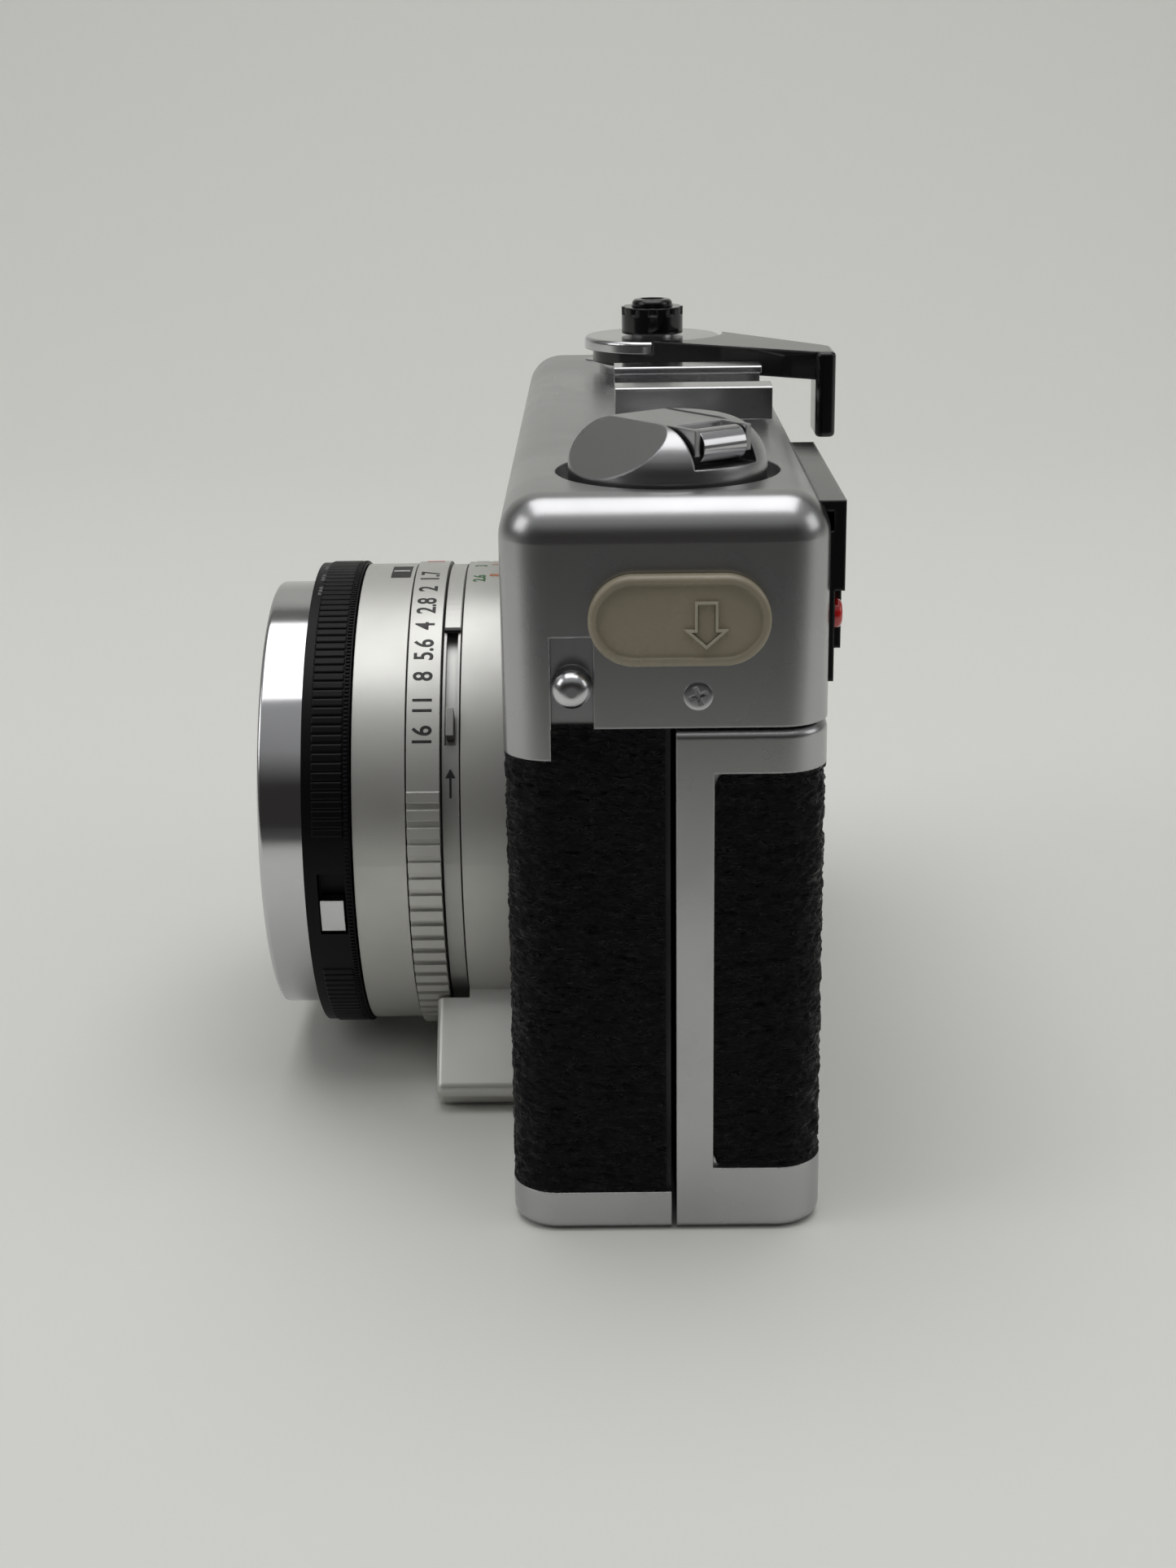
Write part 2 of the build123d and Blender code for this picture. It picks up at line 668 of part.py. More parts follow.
# ---- rewind knob, crank and shaft -----------------------------------------------------------
knob_low = well_floor + knob_lift
knob_high = knob_low + knob_height
crank_dir = (cos(radians(crank_angle)), sin(radians(crank_angle)), 0)
knob_plane = Plane(origin=(knob_x, knob_y, knob_high), x_dir=crank_dir, z_dir=(0, 0, 1))
pin_z = -1.0
roller_z = -1.8
arm_seat = (Align.MIN, Align.CENTER, Align.MAX)

with BuildPart(knob_plane) as rewind_knob:
    Cylinder(knob_radius, knob_height, align=(Align.CENTER, Align.CENTER, Align.MAX))
    fillet(rewind_knob.faces().sort_by(Axis.Z)[-1].edges(), knob_dome)
    with Locations(Location((0, -3.7, 0), (40, 0, 0))):
        Box(30, 14, 9, align=(Align.CENTER, Align.MAX, Align.MIN), mode=Mode.SUBTRACT)
    Box(30, crank_width + 0.4, 2 * crank_depth, mode=Mode.SUBTRACT)
    with Locations((4.5, 0, 0)):
        Box(10, crank_width + 0.7, 7.2, align=(Align.MIN, Align.CENTER, Align.CENTER), mode=Mode.SUBTRACT)
    with Locations(Location((crank_hinge, 0, pin_z), (90, 0, 0))):
        Cylinder(pin_radius, 8.2, mode=Mode.SUBTRACT)
save(rewind_knob, "rewind_knob")

with BuildPart(knob_plane) as rewind_crank:
    with Locations((crank_hinge, 0, pin_z + 0.9)):
        Box(crank_reach - crank_hinge - 2.3, crank_width, crank_thickness, align=arm_seat)
    with Locations(Location((crank_hinge, 0, pin_z), (90, 0, 0))):
        Cylinder(0.9, crank_width)
    for side in (-1, 1):
        with Locations((crank_reach - 2.4, side * (crank_width / 2 - 0.3), pin_z + 0.9)):
            Box(3.6, 0.6, 2.4, align=arm_seat)
    with Locations(Location((crank_reach, 0, roller_z), (90, 0, 0))):
        Cylinder(0.7, crank_width)
    with Locations(Location((crank_hinge, 0, pin_z), (90, 0, 0))):
        Cylinder(pin_radius + 0.04, crank_width, mode=Mode.SUBTRACT)
save(rewind_crank, "rewind_crank")

with BuildPart(knob_plane) as crank_roller:
    with Locations(Location((crank_reach, 0, roller_z), (90, 0, 0))):
        Cylinder(roller_radius, roller_length)
        Cylinder(0.75, roller_length, mode=Mode.SUBTRACT)
save(crank_roller, "crank_roller")

with BuildPart(knob_plane) as crank_pin:
    with Locations(Location((crank_hinge, 0, pin_z), (90, 0, 0))):
        Cylinder(pin_radius, 8.2)
save(crank_pin, "crank_pin")

with BuildPart() as rewind_shaft:
    with Locations((knob_x, knob_y, shaft_bottom)):
        Cylinder(shaft_radius, knob_low - shaft_bottom, align=floor_seat)
        Box(1.4, 5, 3.2, align=floor_seat, mode=Mode.SUBTRACT)
save(rewind_shaft, "rewind_shaft")

with BuildPart() as rewind_collar:
    with Locations((knob_x, knob_y, cover_bottom + 9)):
        Cylinder(collar_radius, 1.4, align=floor_seat)
        Cylinder(shaft_radius + run_gap, 1.4, align=floor_seat, mode=Mode.SUBTRACT)
save(rewind_collar, "rewind_collar")

# ---- accessory shoe --------------------------------------------------------------------------
shoe_top = body_height + shoe_base + shoe_channel + shoe_lip
shoe_slot = shoe_width - 2 * shoe_wall

with BuildPart() as accessory_shoe:
    with BuildSketch(Plane.XZ.offset(-shoe_front)):
        with Locations((shoe_centre, body_height)):
            Rectangle(shoe_width, shoe_top - body_height, align=(Align.CENTER, Align.MIN))
        with Locations((shoe_centre, body_height + shoe_base)):
            Rectangle(shoe_slot, shoe_channel, align=(Align.CENTER, Align.MIN), mode=Mode.SUBTRACT)
            Rectangle(shoe_slot - 2 * shoe_lip_width, 9, align=(Align.CENTER, Align.MIN), mode=Mode.SUBTRACT)
    extrude(amount=-shoe_length)
    fillet(accessory_shoe.faces().sort_by(Axis.Z)[-2:].edges().filter_by(Axis.Y), 0.3)
    with Locations((shoe_centre, shoe_front, body_height + shoe_base)):
        Box(shoe_slot, 0.8, 1.2, align=(Align.CENTER, Align.MIN, Align.MIN))
    with Locations((shoe_centre, shoe_front + 8.4, body_height)):
        Cylinder(1.6, 4, mode=Mode.SUBTRACT)
save(accessory_shoe, "accessory_shoe")

with BuildPart() as shoe_contact:
    with Locations((shoe_centre, shoe_front + 8.4, body_height)):
        Cylinder(1.6, shoe_base + 0.2, align=floor_seat)
save(shoe_contact, "shoe_contact")

# ---- eyepiece and finder windows --------------------------------------------------------------
with BuildPart() as eyepiece_housing:
    span((eyepiece_low_x, back_y - 0.02, eyepiece_low_z),
         (eyepiece_high_x, back_y + eyepiece_base, min(eyepiece_high_z, body_height - cover_fillet)))
    span((eyepiece_low_x, back_y + eyepiece_base - 0.2, eyepiece_low_z + eyepiece_sill),
         (eyepiece_high_x, back_y + eyepiece_base + eyepiece_plate, eyepiece_high_z))
    span((eyepiece_low_x, back_y - 1.9, eyepiece_high_z - 1.0),
         (eyepiece_high_x, back_y + eyepiece_base + eyepiece_plate, eyepiece_high_z))
    add(cover_block.part, mode=Mode.SUBTRACT)
    span((window_x - window_width / 2, 0, window_z - window_height / 2),
         (window_x + window_width / 2, back_y + 9, window_z + window_height / 2), Mode.SUBTRACT)
    span((eyepiece_high_x - 3.0, back_y + eyepiece_base, eyepiece_low_z + eyepiece_sill),
         (eyepiece_high_x + 1, back_y + 9, eyepiece_low_z + 8.5), Mode.SUBTRACT)
save(eyepiece_housing, "eyepiece_housing")

with BuildPart() as eyepiece_glass:
    span((window_x - window_width / 2, back_y - 0.6, window_z - window_height / 2),
         (window_x + window_width / 2, back_y + 0.4, window_z + window_height / 2))
save(eyepiece_glass, "eyepiece_glass")

with BuildPart() as indicator_lamp:
    with Locations(Plane(origin=(eyepiece_high_x - 1.5, back_y + eyepiece_base, lamp_z), z_dir=(0, 1, 0))):
        Cylinder(lamp_radius, 0.8, align=floor_seat)
    fillet(indicator_lamp.faces().sort_by(Axis.Y)[-1].edges(), 0.5)
save(indicator_lamp, "indicator_lamp")

clear_windows = ((window_x, finder_half), (meter_window_x, meter_window_half))

with BuildPart() as finder_bezel:
    span((bezel_low_x, front_y, bezel_low_z), (bezel_high_x, front_y + cover_wall, bezel_high_z))
    for x, half in (*clear_windows, (frame_window_x, frame_window_half)):
        span((x - half, front_y - 1, window_z - bezel_half_height),
             (x + half, front_y + 3, window_z + bezel_half_height), Mode.SUBTRACT)
save(finder_bezel, "finder_bezel")

with BuildPart() as finder_windows:
    for x, half in clear_windows:
        span((x - half, front_y + 0.3, window_z - bezel_half_height),
             (x + half, front_y + cover_wall, window_z + bezel_half_height))
save(finder_windows, "finder_windows")

with BuildPart() as frame_window:
    span((frame_window_x - frame_window_half, front_y + 0.3, window_z - bezel_half_height),
         (frame_window_x + frame_window_half, front_y + cover_wall, window_z + bezel_half_height))
save(frame_window, "frame_window")

# ---- lens: fixed mount and focusing ring -----------------------------------------------------
with BuildPart(lens_plane(front_y + skin)) as lens_mount_plate:
    Cylinder(mount_radius, skin, align=floor_seat)
    Cylinder(mount_tube, front_y + skin - focus_front - ring_gap, align=floor_seat)
    Cylinder(unit_radius + run_gap, body_depth, align=floor_seat, mode=Mode.SUBTRACT)
save(lens_mount_plate, "lens_mount_plate")

with BuildPart(lens_plane(focus_back)) as focus_ring:
    Cylinder(focus_radius, focus_back - focus_front, align=floor_seat)
    Cylinder(mount_tube + run_gap, body_depth, align=floor_seat, mode=Mode.SUBTRACT)
save(focus_ring, "focus_ring")

tab_dir = (cos(radians(tab_angle)), 0, sin(radians(tab_angle)))

with BuildPart() as focus_tab:
    with BuildSketch(Plane(origin=(0, tab_back, lens_height), x_dir=tab_dir, z_dir=(0, -1, 0))):
        with Locations((tab_reach, 0)):
            Rectangle(tab_reach - mount_tube, 2 * tab_half, align=(Align.MAX, Align.CENTER))
    extrude(amount=tab_back - tab_front)
    fillet(focus_tab.edges().filter_by(Axis.Y), 1.2)
    fillet(focus_tab.faces().sort_by(Axis.Y)[0].edges(), 0.8)
    span((-body_width, -body_width, -50), (body_width, body_width, tab_floor), Mode.SUBTRACT)
    with Locations(lens_plane(0)):
        Cylinder(focus_radius, body_depth, align=floor_seat, mode=Mode.SUBTRACT)
    with Locations(lens_plane(focus_front)):
        Cylinder(aperture_radius + aperture_grip + split_gap, body_depth, align=floor_seat,
                 mode=Mode.SUBTRACT)
save(focus_tab, "focus_tab")

# ---- lens: sliding unit -------------------------------------------------------------------
with BuildPart() as lens_barrel:
    with Locations(lens_plane(unit_back)):
        Cylinder(unit_radius, unit_back - band_front, align=floor_seat)
    with Locations(lens_plane(focus_front - ring_gap)):
        Cylinder(band_radius, focus_front - ring_gap - band_front, align=floor_seat)
    with Locations(lens_plane(band_front)):
        Cylinder(core_radius, band_front - speed_front + ring_gap, align=floor_seat)
    with Locations(lens_plane(septum_front)):
        Cylinder(front_bore, body_depth, align=floor_seat, mode=Mode.SUBTRACT)
    with Locations(lens_plane(unit_back - 3.0)):
        Cylinder(rear_bore, unit_back - 3.0 - septum_back, align=floor_seat, mode=Mode.SUBTRACT)
    with Locations(lens_plane(0)):
        Cylinder(aperture_hole, 2 * body_depth, align=floor_seat, mode=Mode.SUBTRACT)
        Cylinder(rear_glass_radius, 12.0, align=floor_seat, mode=Mode.SUBTRACT)
    for index in range(iris_blades):
        angle = radians(index * 360 / iris_blades)
        with Locations(lens_plane(septum_front)):
            with Locations((iris_pivot * cos(angle), iris_pivot * sin(angle), 0)):
                Cylinder(blade_pin, 1.3, align=floor_seat)
    for side in (-1, 1):
        with Locations(lens_plane(septum_back + 0.7)):
            with Locations((0, side * shutter_pivot, 0)):
                Cylinder(blade_pin, 0.7, align=floor_seat)
    add(sector(band_front + 1.5, band_radius - 1.2, band_radius + 1, timer_low, timer_slot, 1.2),
        mode=Mode.SUBTRACT)
save(lens_barrel, "lens_barrel")

with BuildPart() as self_timer_lever:
    add(sector(band_front + 1.3, band_radius - 1.0, band_radius + 1.4, timer_angle - 3.2, 6.4, 0.8))
save(self_timer_lever, "self_timer_lever")

with BuildPart(lens_plane(band_front - ring_gap)) as aperture_ring:
    Cylinder(aperture_radius, band_front - ring_gap - aperture_front, align=floor_seat)
    with PolarLocations(aperture_radius, grip_ribs, start_angle=grip_start, angular_range=grip_sweep):
        Box(2 * aperture_grip, grip_width, band_front - ring_gap - aperture_front, align=floor_seat)
    Cylinder(core_radius + run_gap, body_depth, align=floor_seat, mode=Mode.SUBTRACT)
save(aperture_ring, "aperture_ring")

with BuildPart(lens_plane(aperture_front - ring_gap)) as index_ring:
    Cylinder(index_radius, aperture_front - ring_gap - index_front, align=floor_seat)
    Cylinder(core_radius, body_depth, align=floor_seat, mode=Mode.SUBTRACT)
save(index_ring, "index_ring")

with BuildPart() as speed_ring:
    with Locations(lens_plane(index_front - ring_gap)):
        Cylinder(speed_radius, index_front - ring_gap - speed_front, align=floor_seat)
        Cylinder(core_radius + run_gap, body_depth, align=floor_seat, mode=Mode.SUBTRACT)
    add(sector(index_front - 1.0, speed_radius - 1.4, speed_radius + 1, film_low, film_slot, 2.9),
        mode=Mode.SUBTRACT)
save(speed_ring, "speed_ring")

with BuildPart() as film_speed_lever:
    add(sector(index_front - 1.2, speed_radius - 1.2, speed_radius + 0.3, film_angle - 4, 8, 2.5))
save(film_speed_lever, "film_speed_lever")

chrome_back = speed_front - ring_gap
glass_curve = (glass_radius ** 2 + glass_crown ** 2) / (2 * glass_crown)
glass_edge = chrome_back + 0.4

with BuildPart(lens_plane(chrome_back)) as front_ring:
    Cylinder(chrome_radius, chrome_back - chrome_front, align=floor_seat)
    Cylinder(name_radius, body_depth, align=floor_seat, mode=Mode.SUBTRACT)
    with Locations((0, 0, chrome_back - name_front)):
        Cylinder(filter_radius, body_depth, align=floor_seat, mode=Mode.SUBTRACT)
    fillet(front_ring.faces().sort_by(Axis.Y)[0].edges().sort_by(SortBy.RADIUS)[-1], 0.5)
save(front_ring, "front_ring")

with BuildPart(lens_plane(chrome_back)) as name_ring:
    Cylinder(name_radius, chrome_back - name_front, align=floor_seat)
    with Locations((0, 0, chrome_back - name_front)):
        Cone(glass_radius + 0.6, name_radius - 1.4, 1.4, align=high_seat, mode=Mode.SUBTRACT)
    with Locations((0, 0, 0)):
        Cylinder(front_bore, glass_seat, align=high_seat)
        Cylinder(glass_radius, body_depth, mode=Mode.SUBTRACT)
save(name_ring, "name_ring")

with BuildPart() as front_glass:
    with BuildSketch(Plane(origin=(0, 0, lens_height), x_dir=(1, 0, 0), z_dir=(0, 0, 1))):
        with BuildLine():
            Line((0, chrome_back + glass_seat), (glass_radius, chrome_back + glass_seat))
            Line((glass_radius, chrome_back + glass_seat), (glass_radius, glass_edge))
            RadiusArc((glass_radius, glass_edge), (0, glass_edge - glass_crown), glass_curve)
            Line((0, glass_edge - glass_crown), (0, chrome_back + glass_seat))
        make_face()
    revolve(axis=Axis((0, 0, lens_height), (0, 1, 0)))
save(front_glass, "front_glass")

with BuildPart(lens_plane(unit_back)) as rear_glass:
    Cylinder(rear_glass_radius, 3.0, align=floor_seat)
    fillet(rear_glass.faces().sort_by(Axis.Y)[-1].edges(), 1.0)
save(rear_glass, "rear_glass")

# ---- iris and shutter blades -----------------------------------------------------------------
for index in range(iris_blades):
    turn = index * 360 / iris_blades
    level = septum_front - 0.1 - index * blade_pitch
    with BuildPart() as blade:
        add(sector(level, 8.2, 13.6, turn - 4, 84, blade_thickness))
        with Locations(lens_plane(level)):
            with Locations((iris_pivot * cos(radians(turn)), iris_pivot * sin(radians(turn)), 0)):
                Cylinder(1.4, blade_thickness, align=floor_seat)
                Cylinder(blade_pin + 0.03, blade_thickness, align=floor_seat, mode=Mode.SUBTRACT)
    save(blade, "iris_blade_" + str(index + 1))

for index, side in enumerate((1, -1)):
    level = septum_back + 0.25 + index * blade_pitch
    with BuildPart() as blade:
        with BuildSketch(lens_plane(level)):
            Circle(8.0)
            with Locations((side * 10.4, 0)):
                Rectangle(20, 40, mode=Mode.SUBTRACT)
            with Locations((-side * 0.8, side * shutter_pivot / 2)):
                Rectangle(2.4, shutter_pivot)
            with Locations((0, side * shutter_pivot)):
                Circle(1.5)
                Circle(blade_pin + 0.03, mode=Mode.SUBTRACT)
        extrude(amount=blade_thickness)
    save(blade, "shutter_blade_" + str(index + 1))
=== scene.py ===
import math

import bmesh
import bpy
from mathutils import Matrix, Vector


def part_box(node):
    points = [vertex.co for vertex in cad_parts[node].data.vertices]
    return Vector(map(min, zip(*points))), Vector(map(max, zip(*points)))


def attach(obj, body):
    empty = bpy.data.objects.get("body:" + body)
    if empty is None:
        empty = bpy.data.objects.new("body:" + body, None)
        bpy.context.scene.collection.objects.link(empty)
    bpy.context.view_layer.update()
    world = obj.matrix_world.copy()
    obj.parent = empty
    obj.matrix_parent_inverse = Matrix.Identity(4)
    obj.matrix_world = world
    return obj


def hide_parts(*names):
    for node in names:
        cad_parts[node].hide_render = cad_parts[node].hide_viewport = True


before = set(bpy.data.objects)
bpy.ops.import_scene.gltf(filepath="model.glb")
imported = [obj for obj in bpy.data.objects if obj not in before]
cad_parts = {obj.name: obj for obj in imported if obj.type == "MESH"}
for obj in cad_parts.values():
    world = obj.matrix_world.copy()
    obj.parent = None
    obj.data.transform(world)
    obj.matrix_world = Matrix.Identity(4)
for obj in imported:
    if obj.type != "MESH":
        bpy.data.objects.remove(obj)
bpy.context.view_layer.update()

mm = 0.001
lensHeight = 28.1 * mm
# lens pieces are made with X out, Y up and Z forward
lensPlace = Matrix(((1, 0, 0, 0), (0, 0, -1, 0), (0, 1, 0, lensHeight), (0, 0, 0, 1)))
print("frame loaded, nodes:", len(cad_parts))


# materials: each one reads Object coordinates in metres

def startFinish(name):
    finish = bpy.data.materials.new(name)
    finish.use_nodes = True
    tree = finish.node_tree
    coords = tree.nodes.new("ShaderNodeTexCoord").outputs["Object"]
    return finish, tree, tree.nodes["Principled BSDF"], coords


def grain(tree, coords, scale, detail=3.0, stretch=(1, 1, 1), distortion=0.0):
    shape = tree.nodes.new("ShaderNodeMapping")
    shape.inputs["Scale"].default_value = stretch
    tree.links.new(coords, shape.inputs["Vector"])
    field = tree.nodes.new("ShaderNodeTexNoise")
    field.inputs["Scale"].default_value = scale
    field.inputs["Detail"].default_value = detail
    field.inputs["Distortion"].default_value = distortion
    tree.links.new(shape.outputs["Vector"], field.inputs["Vector"])
    return field.outputs["Fac"]


def spread(tree, field, low, high, start=0.3, end=0.7):
    scale = tree.nodes.new("ShaderNodeMapRange")
    scale.inputs["From Min"].default_value = start
    scale.inputs["From Max"].default_value = end
    scale.inputs["To Min"].default_value = low
    scale.inputs["To Max"].default_value = high
    tree.links.new(field, scale.inputs["Value"])
    return scale.outputs["Result"]


def blendColors(tree, field, first, second, start=0.35, end=0.65):
    ramp = tree.nodes.new("ShaderNodeValToRGB")
    ramp.color_ramp.elements[0].position = start
    ramp.color_ramp.elements[0].color = (*first, 1)
    ramp.color_ramp.elements[1].position = end
    ramp.color_ramp.elements[1].color = (*second, 1)
    tree.links.new(field, ramp.inputs["Fac"])
    return ramp.outputs["Color"]


def softEdges(tree, shader, radius, height, strength, distance):
    edge = tree.nodes.new("ShaderNodeBevel")
    edge.samples = 4
    edge.inputs["Radius"].default_value = radius * mm
    relief = tree.nodes.new("ShaderNodeBump")
    relief.inputs["Strength"].default_value = strength
    relief.inputs["Distance"].default_value = distance * mm
    tree.links.new(height, relief.inputs["Height"])
    tree.links.new(edge.outputs["Normal"], relief.inputs["Normal"])
    tree.links.new(relief.outputs["Normal"], shader.inputs["Normal"])


def metalFinish(name, color, dark, roughness, grainScale, relief, edge, metallic=1.0, swing=0.07,
                specular=0.5):
    finish, tree, shader, coords = startFinish(name)
    shader.inputs["Metallic"].default_value = metallic
    shader.inputs["Specular IOR Level"].default_value = specular
    cloud = grain(tree, coords, 60, 4)
    tree.links.new(blendColors(tree, cloud, dark, color), shader.inputs["Base Color"])
    tree.links.new(spread(tree, cloud, roughness + swing, roughness - swing), shader.inputs["Roughness"])
    softEdges(tree, shader, edge, grain(tree, coords, grainScale, 2), relief, 0.02)
    return finish


def plasticFinish(name, color, worn, roughness, edge, coat, grainScale=900, relief=0.08):
    finish, tree, shader, coords = startFinish(name)
    cloud = grain(tree, coords, 120, 5)
    tree.links.new(blendColors(tree, cloud, color, worn, 0.45, 0.75), shader.inputs["Base Color"])
    tree.links.new(spread(tree, cloud, roughness * 0.75, roughness * 1.35), shader.inputs["Roughness"])
    shader.inputs["Coat Weight"].default_value = coat
    shader.inputs["Coat Roughness"].default_value = 0.08
    softEdges(tree, shader, edge, grain(tree, coords, grainScale, 2), relief, 0.03)
    return finish


def glassFinish(name, tint, roughness, coatTint=(1, 1, 1), ior=1.52):
    finish, tree, shader, coords = startFinish(name)
    shader.inputs["Base Color"].default_value = (*tint, 1)
    shader.inputs["Transmission Weight"].default_value = 1.0
    shader.inputs["IOR"].default_value = ior
    shader.inputs["Coat Weight"].default_value = 0.6
    shader.inputs["Coat Tint"].default_value = (*coatTint, 1)
    smear = grain(tree, coords, 150, 4)
    tree.links.new(spread(tree, smear, roughness, roughness + 0.05, 0.5, 0.8), shader.inputs["Roughness"])
    return finish


def leatherFinish(name):
    finish, tree, shader, coords = startFinish(name)
    fold = grain(tree, coords, 620, 4, (0.5, 0.5, 1.7), 1.2)
    black = blendColors(tree, fold, (0.0008, 0.0008, 0.001), (0.0025, 0.0025, 0.003))
    tree.links.new(black, shader.inputs["Base Color"])
    crest = grain(tree, coords, 1050, 2, (0.6, 0.6, 1.7), 1.0)
    tree.links.new(spread(tree, crest, 0.6, 0.22, 0.45, 0.62), shader.inputs["Roughness"])
    shader.inputs["Specular IOR Level"].default_value = 0.14
    relief = tree.nodes.new("ShaderNodeBump")
    relief.inputs["Strength"].default_value = 1.0
    relief.inputs["Distance"].default_value = 0.7 * mm
    tree.links.new(crest, relief.inputs["Height"])
    tree.links.new(relief.outputs["Normal"], shader.inputs["Normal"])
    return finish


def inkFinish(name, color):
    finish, tree, shader, coords = startFinish(name)
    cloud = grain(tree, coords, 900, 3)
    worn = tuple(min(1, channel * 1.5 + 0.02) for channel in color)
    tree.links.new(blendColors(tree, cloud, color, worn, 0.5, 0.8), shader.inputs["Base Color"])
    shader.inputs["Roughness"].default_value = 0.5
    return finish


# relief is a bump strength, edge a radius in mm, swing how far the roughness drifts each way
metals = {
    "satinChrome": {"color": (0.46, 0.46, 0.465), "dark": (0.41, 0.41, 0.415), "roughness": 0.28,
                    "grainScale": 3000, "relief": 0.12, "edge": 0.25, "swing": 0.03},
    "brightChrome": {"color": (0.62, 0.62, 0.63), "dark": (0.55, 0.55, 0.56), "roughness": 0.13,
                     "grainScale": 1500, "relief": 0.06, "edge": 0.15, "swing": 0.04},
    "darkChrome": {"color": (0.66, 0.66, 0.67), "dark": (0.44, 0.44, 0.45), "roughness": 0.22,
                   "grainScale": 900, "relief": 0.08, "edge": 0.15, "swing": 0.06},
    "satinLens": {"color": (0.60, 0.597, 0.57), "dark": (0.55, 0.547, 0.52), "roughness": 0.44,
                  "grainScale": 3200, "relief": 0.1, "edge": 0.12, "metallic": 0.7},
    "blackLens": {"color": (0.003, 0.003, 0.0035), "dark": (0.002, 0.002, 0.0025), "roughness": 0.42,
                  "grainScale": 2400, "relief": 0.1, "edge": 0.12, "metallic": 0.0, "specular": 0.15},
    "bandMetal": {"color": (0.50, 0.50, 0.485), "dark": (0.44, 0.44, 0.425), "roughness": 0.42,
                  "grainScale": 2600, "relief": 0.2, "edge": 0.1, "metallic": 0.8},
    "plainSteel": {"color": (0.46, 0.455, 0.44), "dark": (0.36, 0.355, 0.34), "roughness": 0.30,
                   "grainScale": 1500, "relief": 0.12, "edge": 0.08},
}
plastics = {
    "blackPaint": {"color": (0.012, 0.012, 0.013), "worn": (0.02, 0.02, 0.021), "roughness": 0.55,
                   "edge": 0.1, "coat": 0.0, "grainScale": 1600, "relief": 0.3},
    "blackGloss": {"color": (0.002, 0.002, 0.0022), "worn": (0.004, 0.004, 0.0042), "roughness": 0.10,
                   "edge": 0.35, "coat": 0.1},
    "ivoryPlastic": {"color": (0.35, 0.31, 0.225), "worn": (0.31, 0.275, 0.20), "roughness": 0.28,
                     "edge": 0.35, "coat": 0.1},
    # a lighter copy of the ivory, a painted highlight for the latch arrow's raised outline
    "ivoryPaintedHighlight": {"color": (0.52, 0.48, 0.37), "worn": (0.46, 0.42, 0.32), "roughness": 0.25,
                   "edge": 0.3, "coat": 0.1},
    "redLamp": {"color": (0.62, 0.012, 0.012), "worn": (0.5, 0.01, 0.01), "roughness": 0.1,
                "edge": 0.2, "coat": 0.8},
}
glasses = {
    "coatedGlass": {"tint": (0.86, 0.9, 0.95), "roughness": 0.0, "coatTint": (0.75, 0.6, 1.0), "ior": 1.6},
    "clearGlass": {"tint": (0.95, 0.97, 0.96), "roughness": 0.01},
    "frostedGlass": {"tint": (0.92, 0.93, 0.92), "roughness": 0.45},
}
inks = {
    "inkBlack": (0.012, 0.012, 0.012),
    "inkGrey": (0.11, 0.11, 0.115),
    # painted shade colour for the thin strip inside the latch arrow's outline
    "paintedShade": (0.09, 0.08, 0.055),
    "inkWhite": (0.7, 0.7, 0.68),
    "inkGreen": (0.05, 0.16, 0.05),
    "inkOrange": (0.48, 0.17, 0.05),
    "inkRed": (0.45, 0.04, 0.02),
}
finishes = {name: metalFinish(name, **values) for name, values in metals.items()}
finishes.update({name: plasticFinish(name, **values) for name, values in plastics.items()})
finishes["leather"] = leatherFinish("leather")
finishes.update({name: glassFinish(name, **values) for name, values in glasses.items()})
finishes.update({name: inkFinish(name, color) for name, color in inks.items()})

nodeFinish = {
    "satinChrome": ["top_cover", "base_plate", "back_door", "rewind_knob", "rewind_crank", "battery_cover"],
    "darkChrome": ["strap_lugs", "cover_screws"],
    "brightChrome": ["front_ring", "accessory_shoe", "crank_roller", "lever_cap", "lever_post",
                     "rewind_release_button", "film_speed_lever"],
    "satinLens": ["focus_ring", "focus_tab", "aperture_ring", "index_ring"],
    "bandMetal": ["lens_barrel", "lens_mount_plate"],
    "blackLens": ["speed_ring", "name_ring"],
    "plainSteel": ["tripod_socket", "hinge_pin", "pressure_spring", "latch_hook", "crank_pin",
                   "rewind_shaft", "rewind_collar", "shoe_contact", "battery_cell", "self_timer_lever"],
    "blackPaint": ["body_casting", "pressure_plate", "counter_dial", "iris_blade_1", "iris_blade_2",
                   "iris_blade_3", "iris_blade_4", "shutter_blade_1", "shutter_blade_2"],
    "blackGloss": ["advance_lever", "lever_tip", "release_collar", "shutter_button", "eyepiece_housing",
                   "finder_bezel", "takeup_spool", "film_sprocket"],
    "ivoryPlastic": ["door_latch"],
    "leather": ["front_leatherette", "door_leatherette"],
    "redLamp": ["indicator_lamp"],
    "coatedGlass": ["front_glass", "rear_glass"],
    "clearGlass": ["eyepiece_glass", "finder_windows", "counter_window"],
    "frostedGlass": ["frame_window"],
}
for finishName, nodeNames in nodeFinish.items():
    for nodeName in nodeNames:
        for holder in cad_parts[nodeName].material_slots:
            holder.material = finishes[finishName]
print("finishes on", sum(len(names) for names in nodeFinish.values()), "nodes")


# mesh helpers

def meshObject(name, verts, faces):
    mesh = bpy.data.meshes.new(name)
    mesh.from_pydata(verts, [], faces)
    piece = bpy.data.objects.new(name, mesh)
    bpy.context.scene.collection.objects.link(piece)
    return piece


def tidyMesh(piece, merge=0.0005, smooth=False):  # merge is in mm
    work = bmesh.new()
    work.from_mesh(piece.data)
    bmesh.ops.remove_doubles(work, verts=work.verts, dist=merge * mm)
    bmesh.ops.recalc_face_normals(work, faces=work.faces)
    work.to_mesh(piece.data)
    work.free()
    for face in piece.data.polygons:
        face.use_smooth = smooth


def place(piece, body, finish, matrix=None):
    if matrix is not None:
        piece.data.transform(matrix)
    piece.data.materials.clear()
    piece.data.materials.append(finishes[finish])
    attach(piece, body)
    return piece


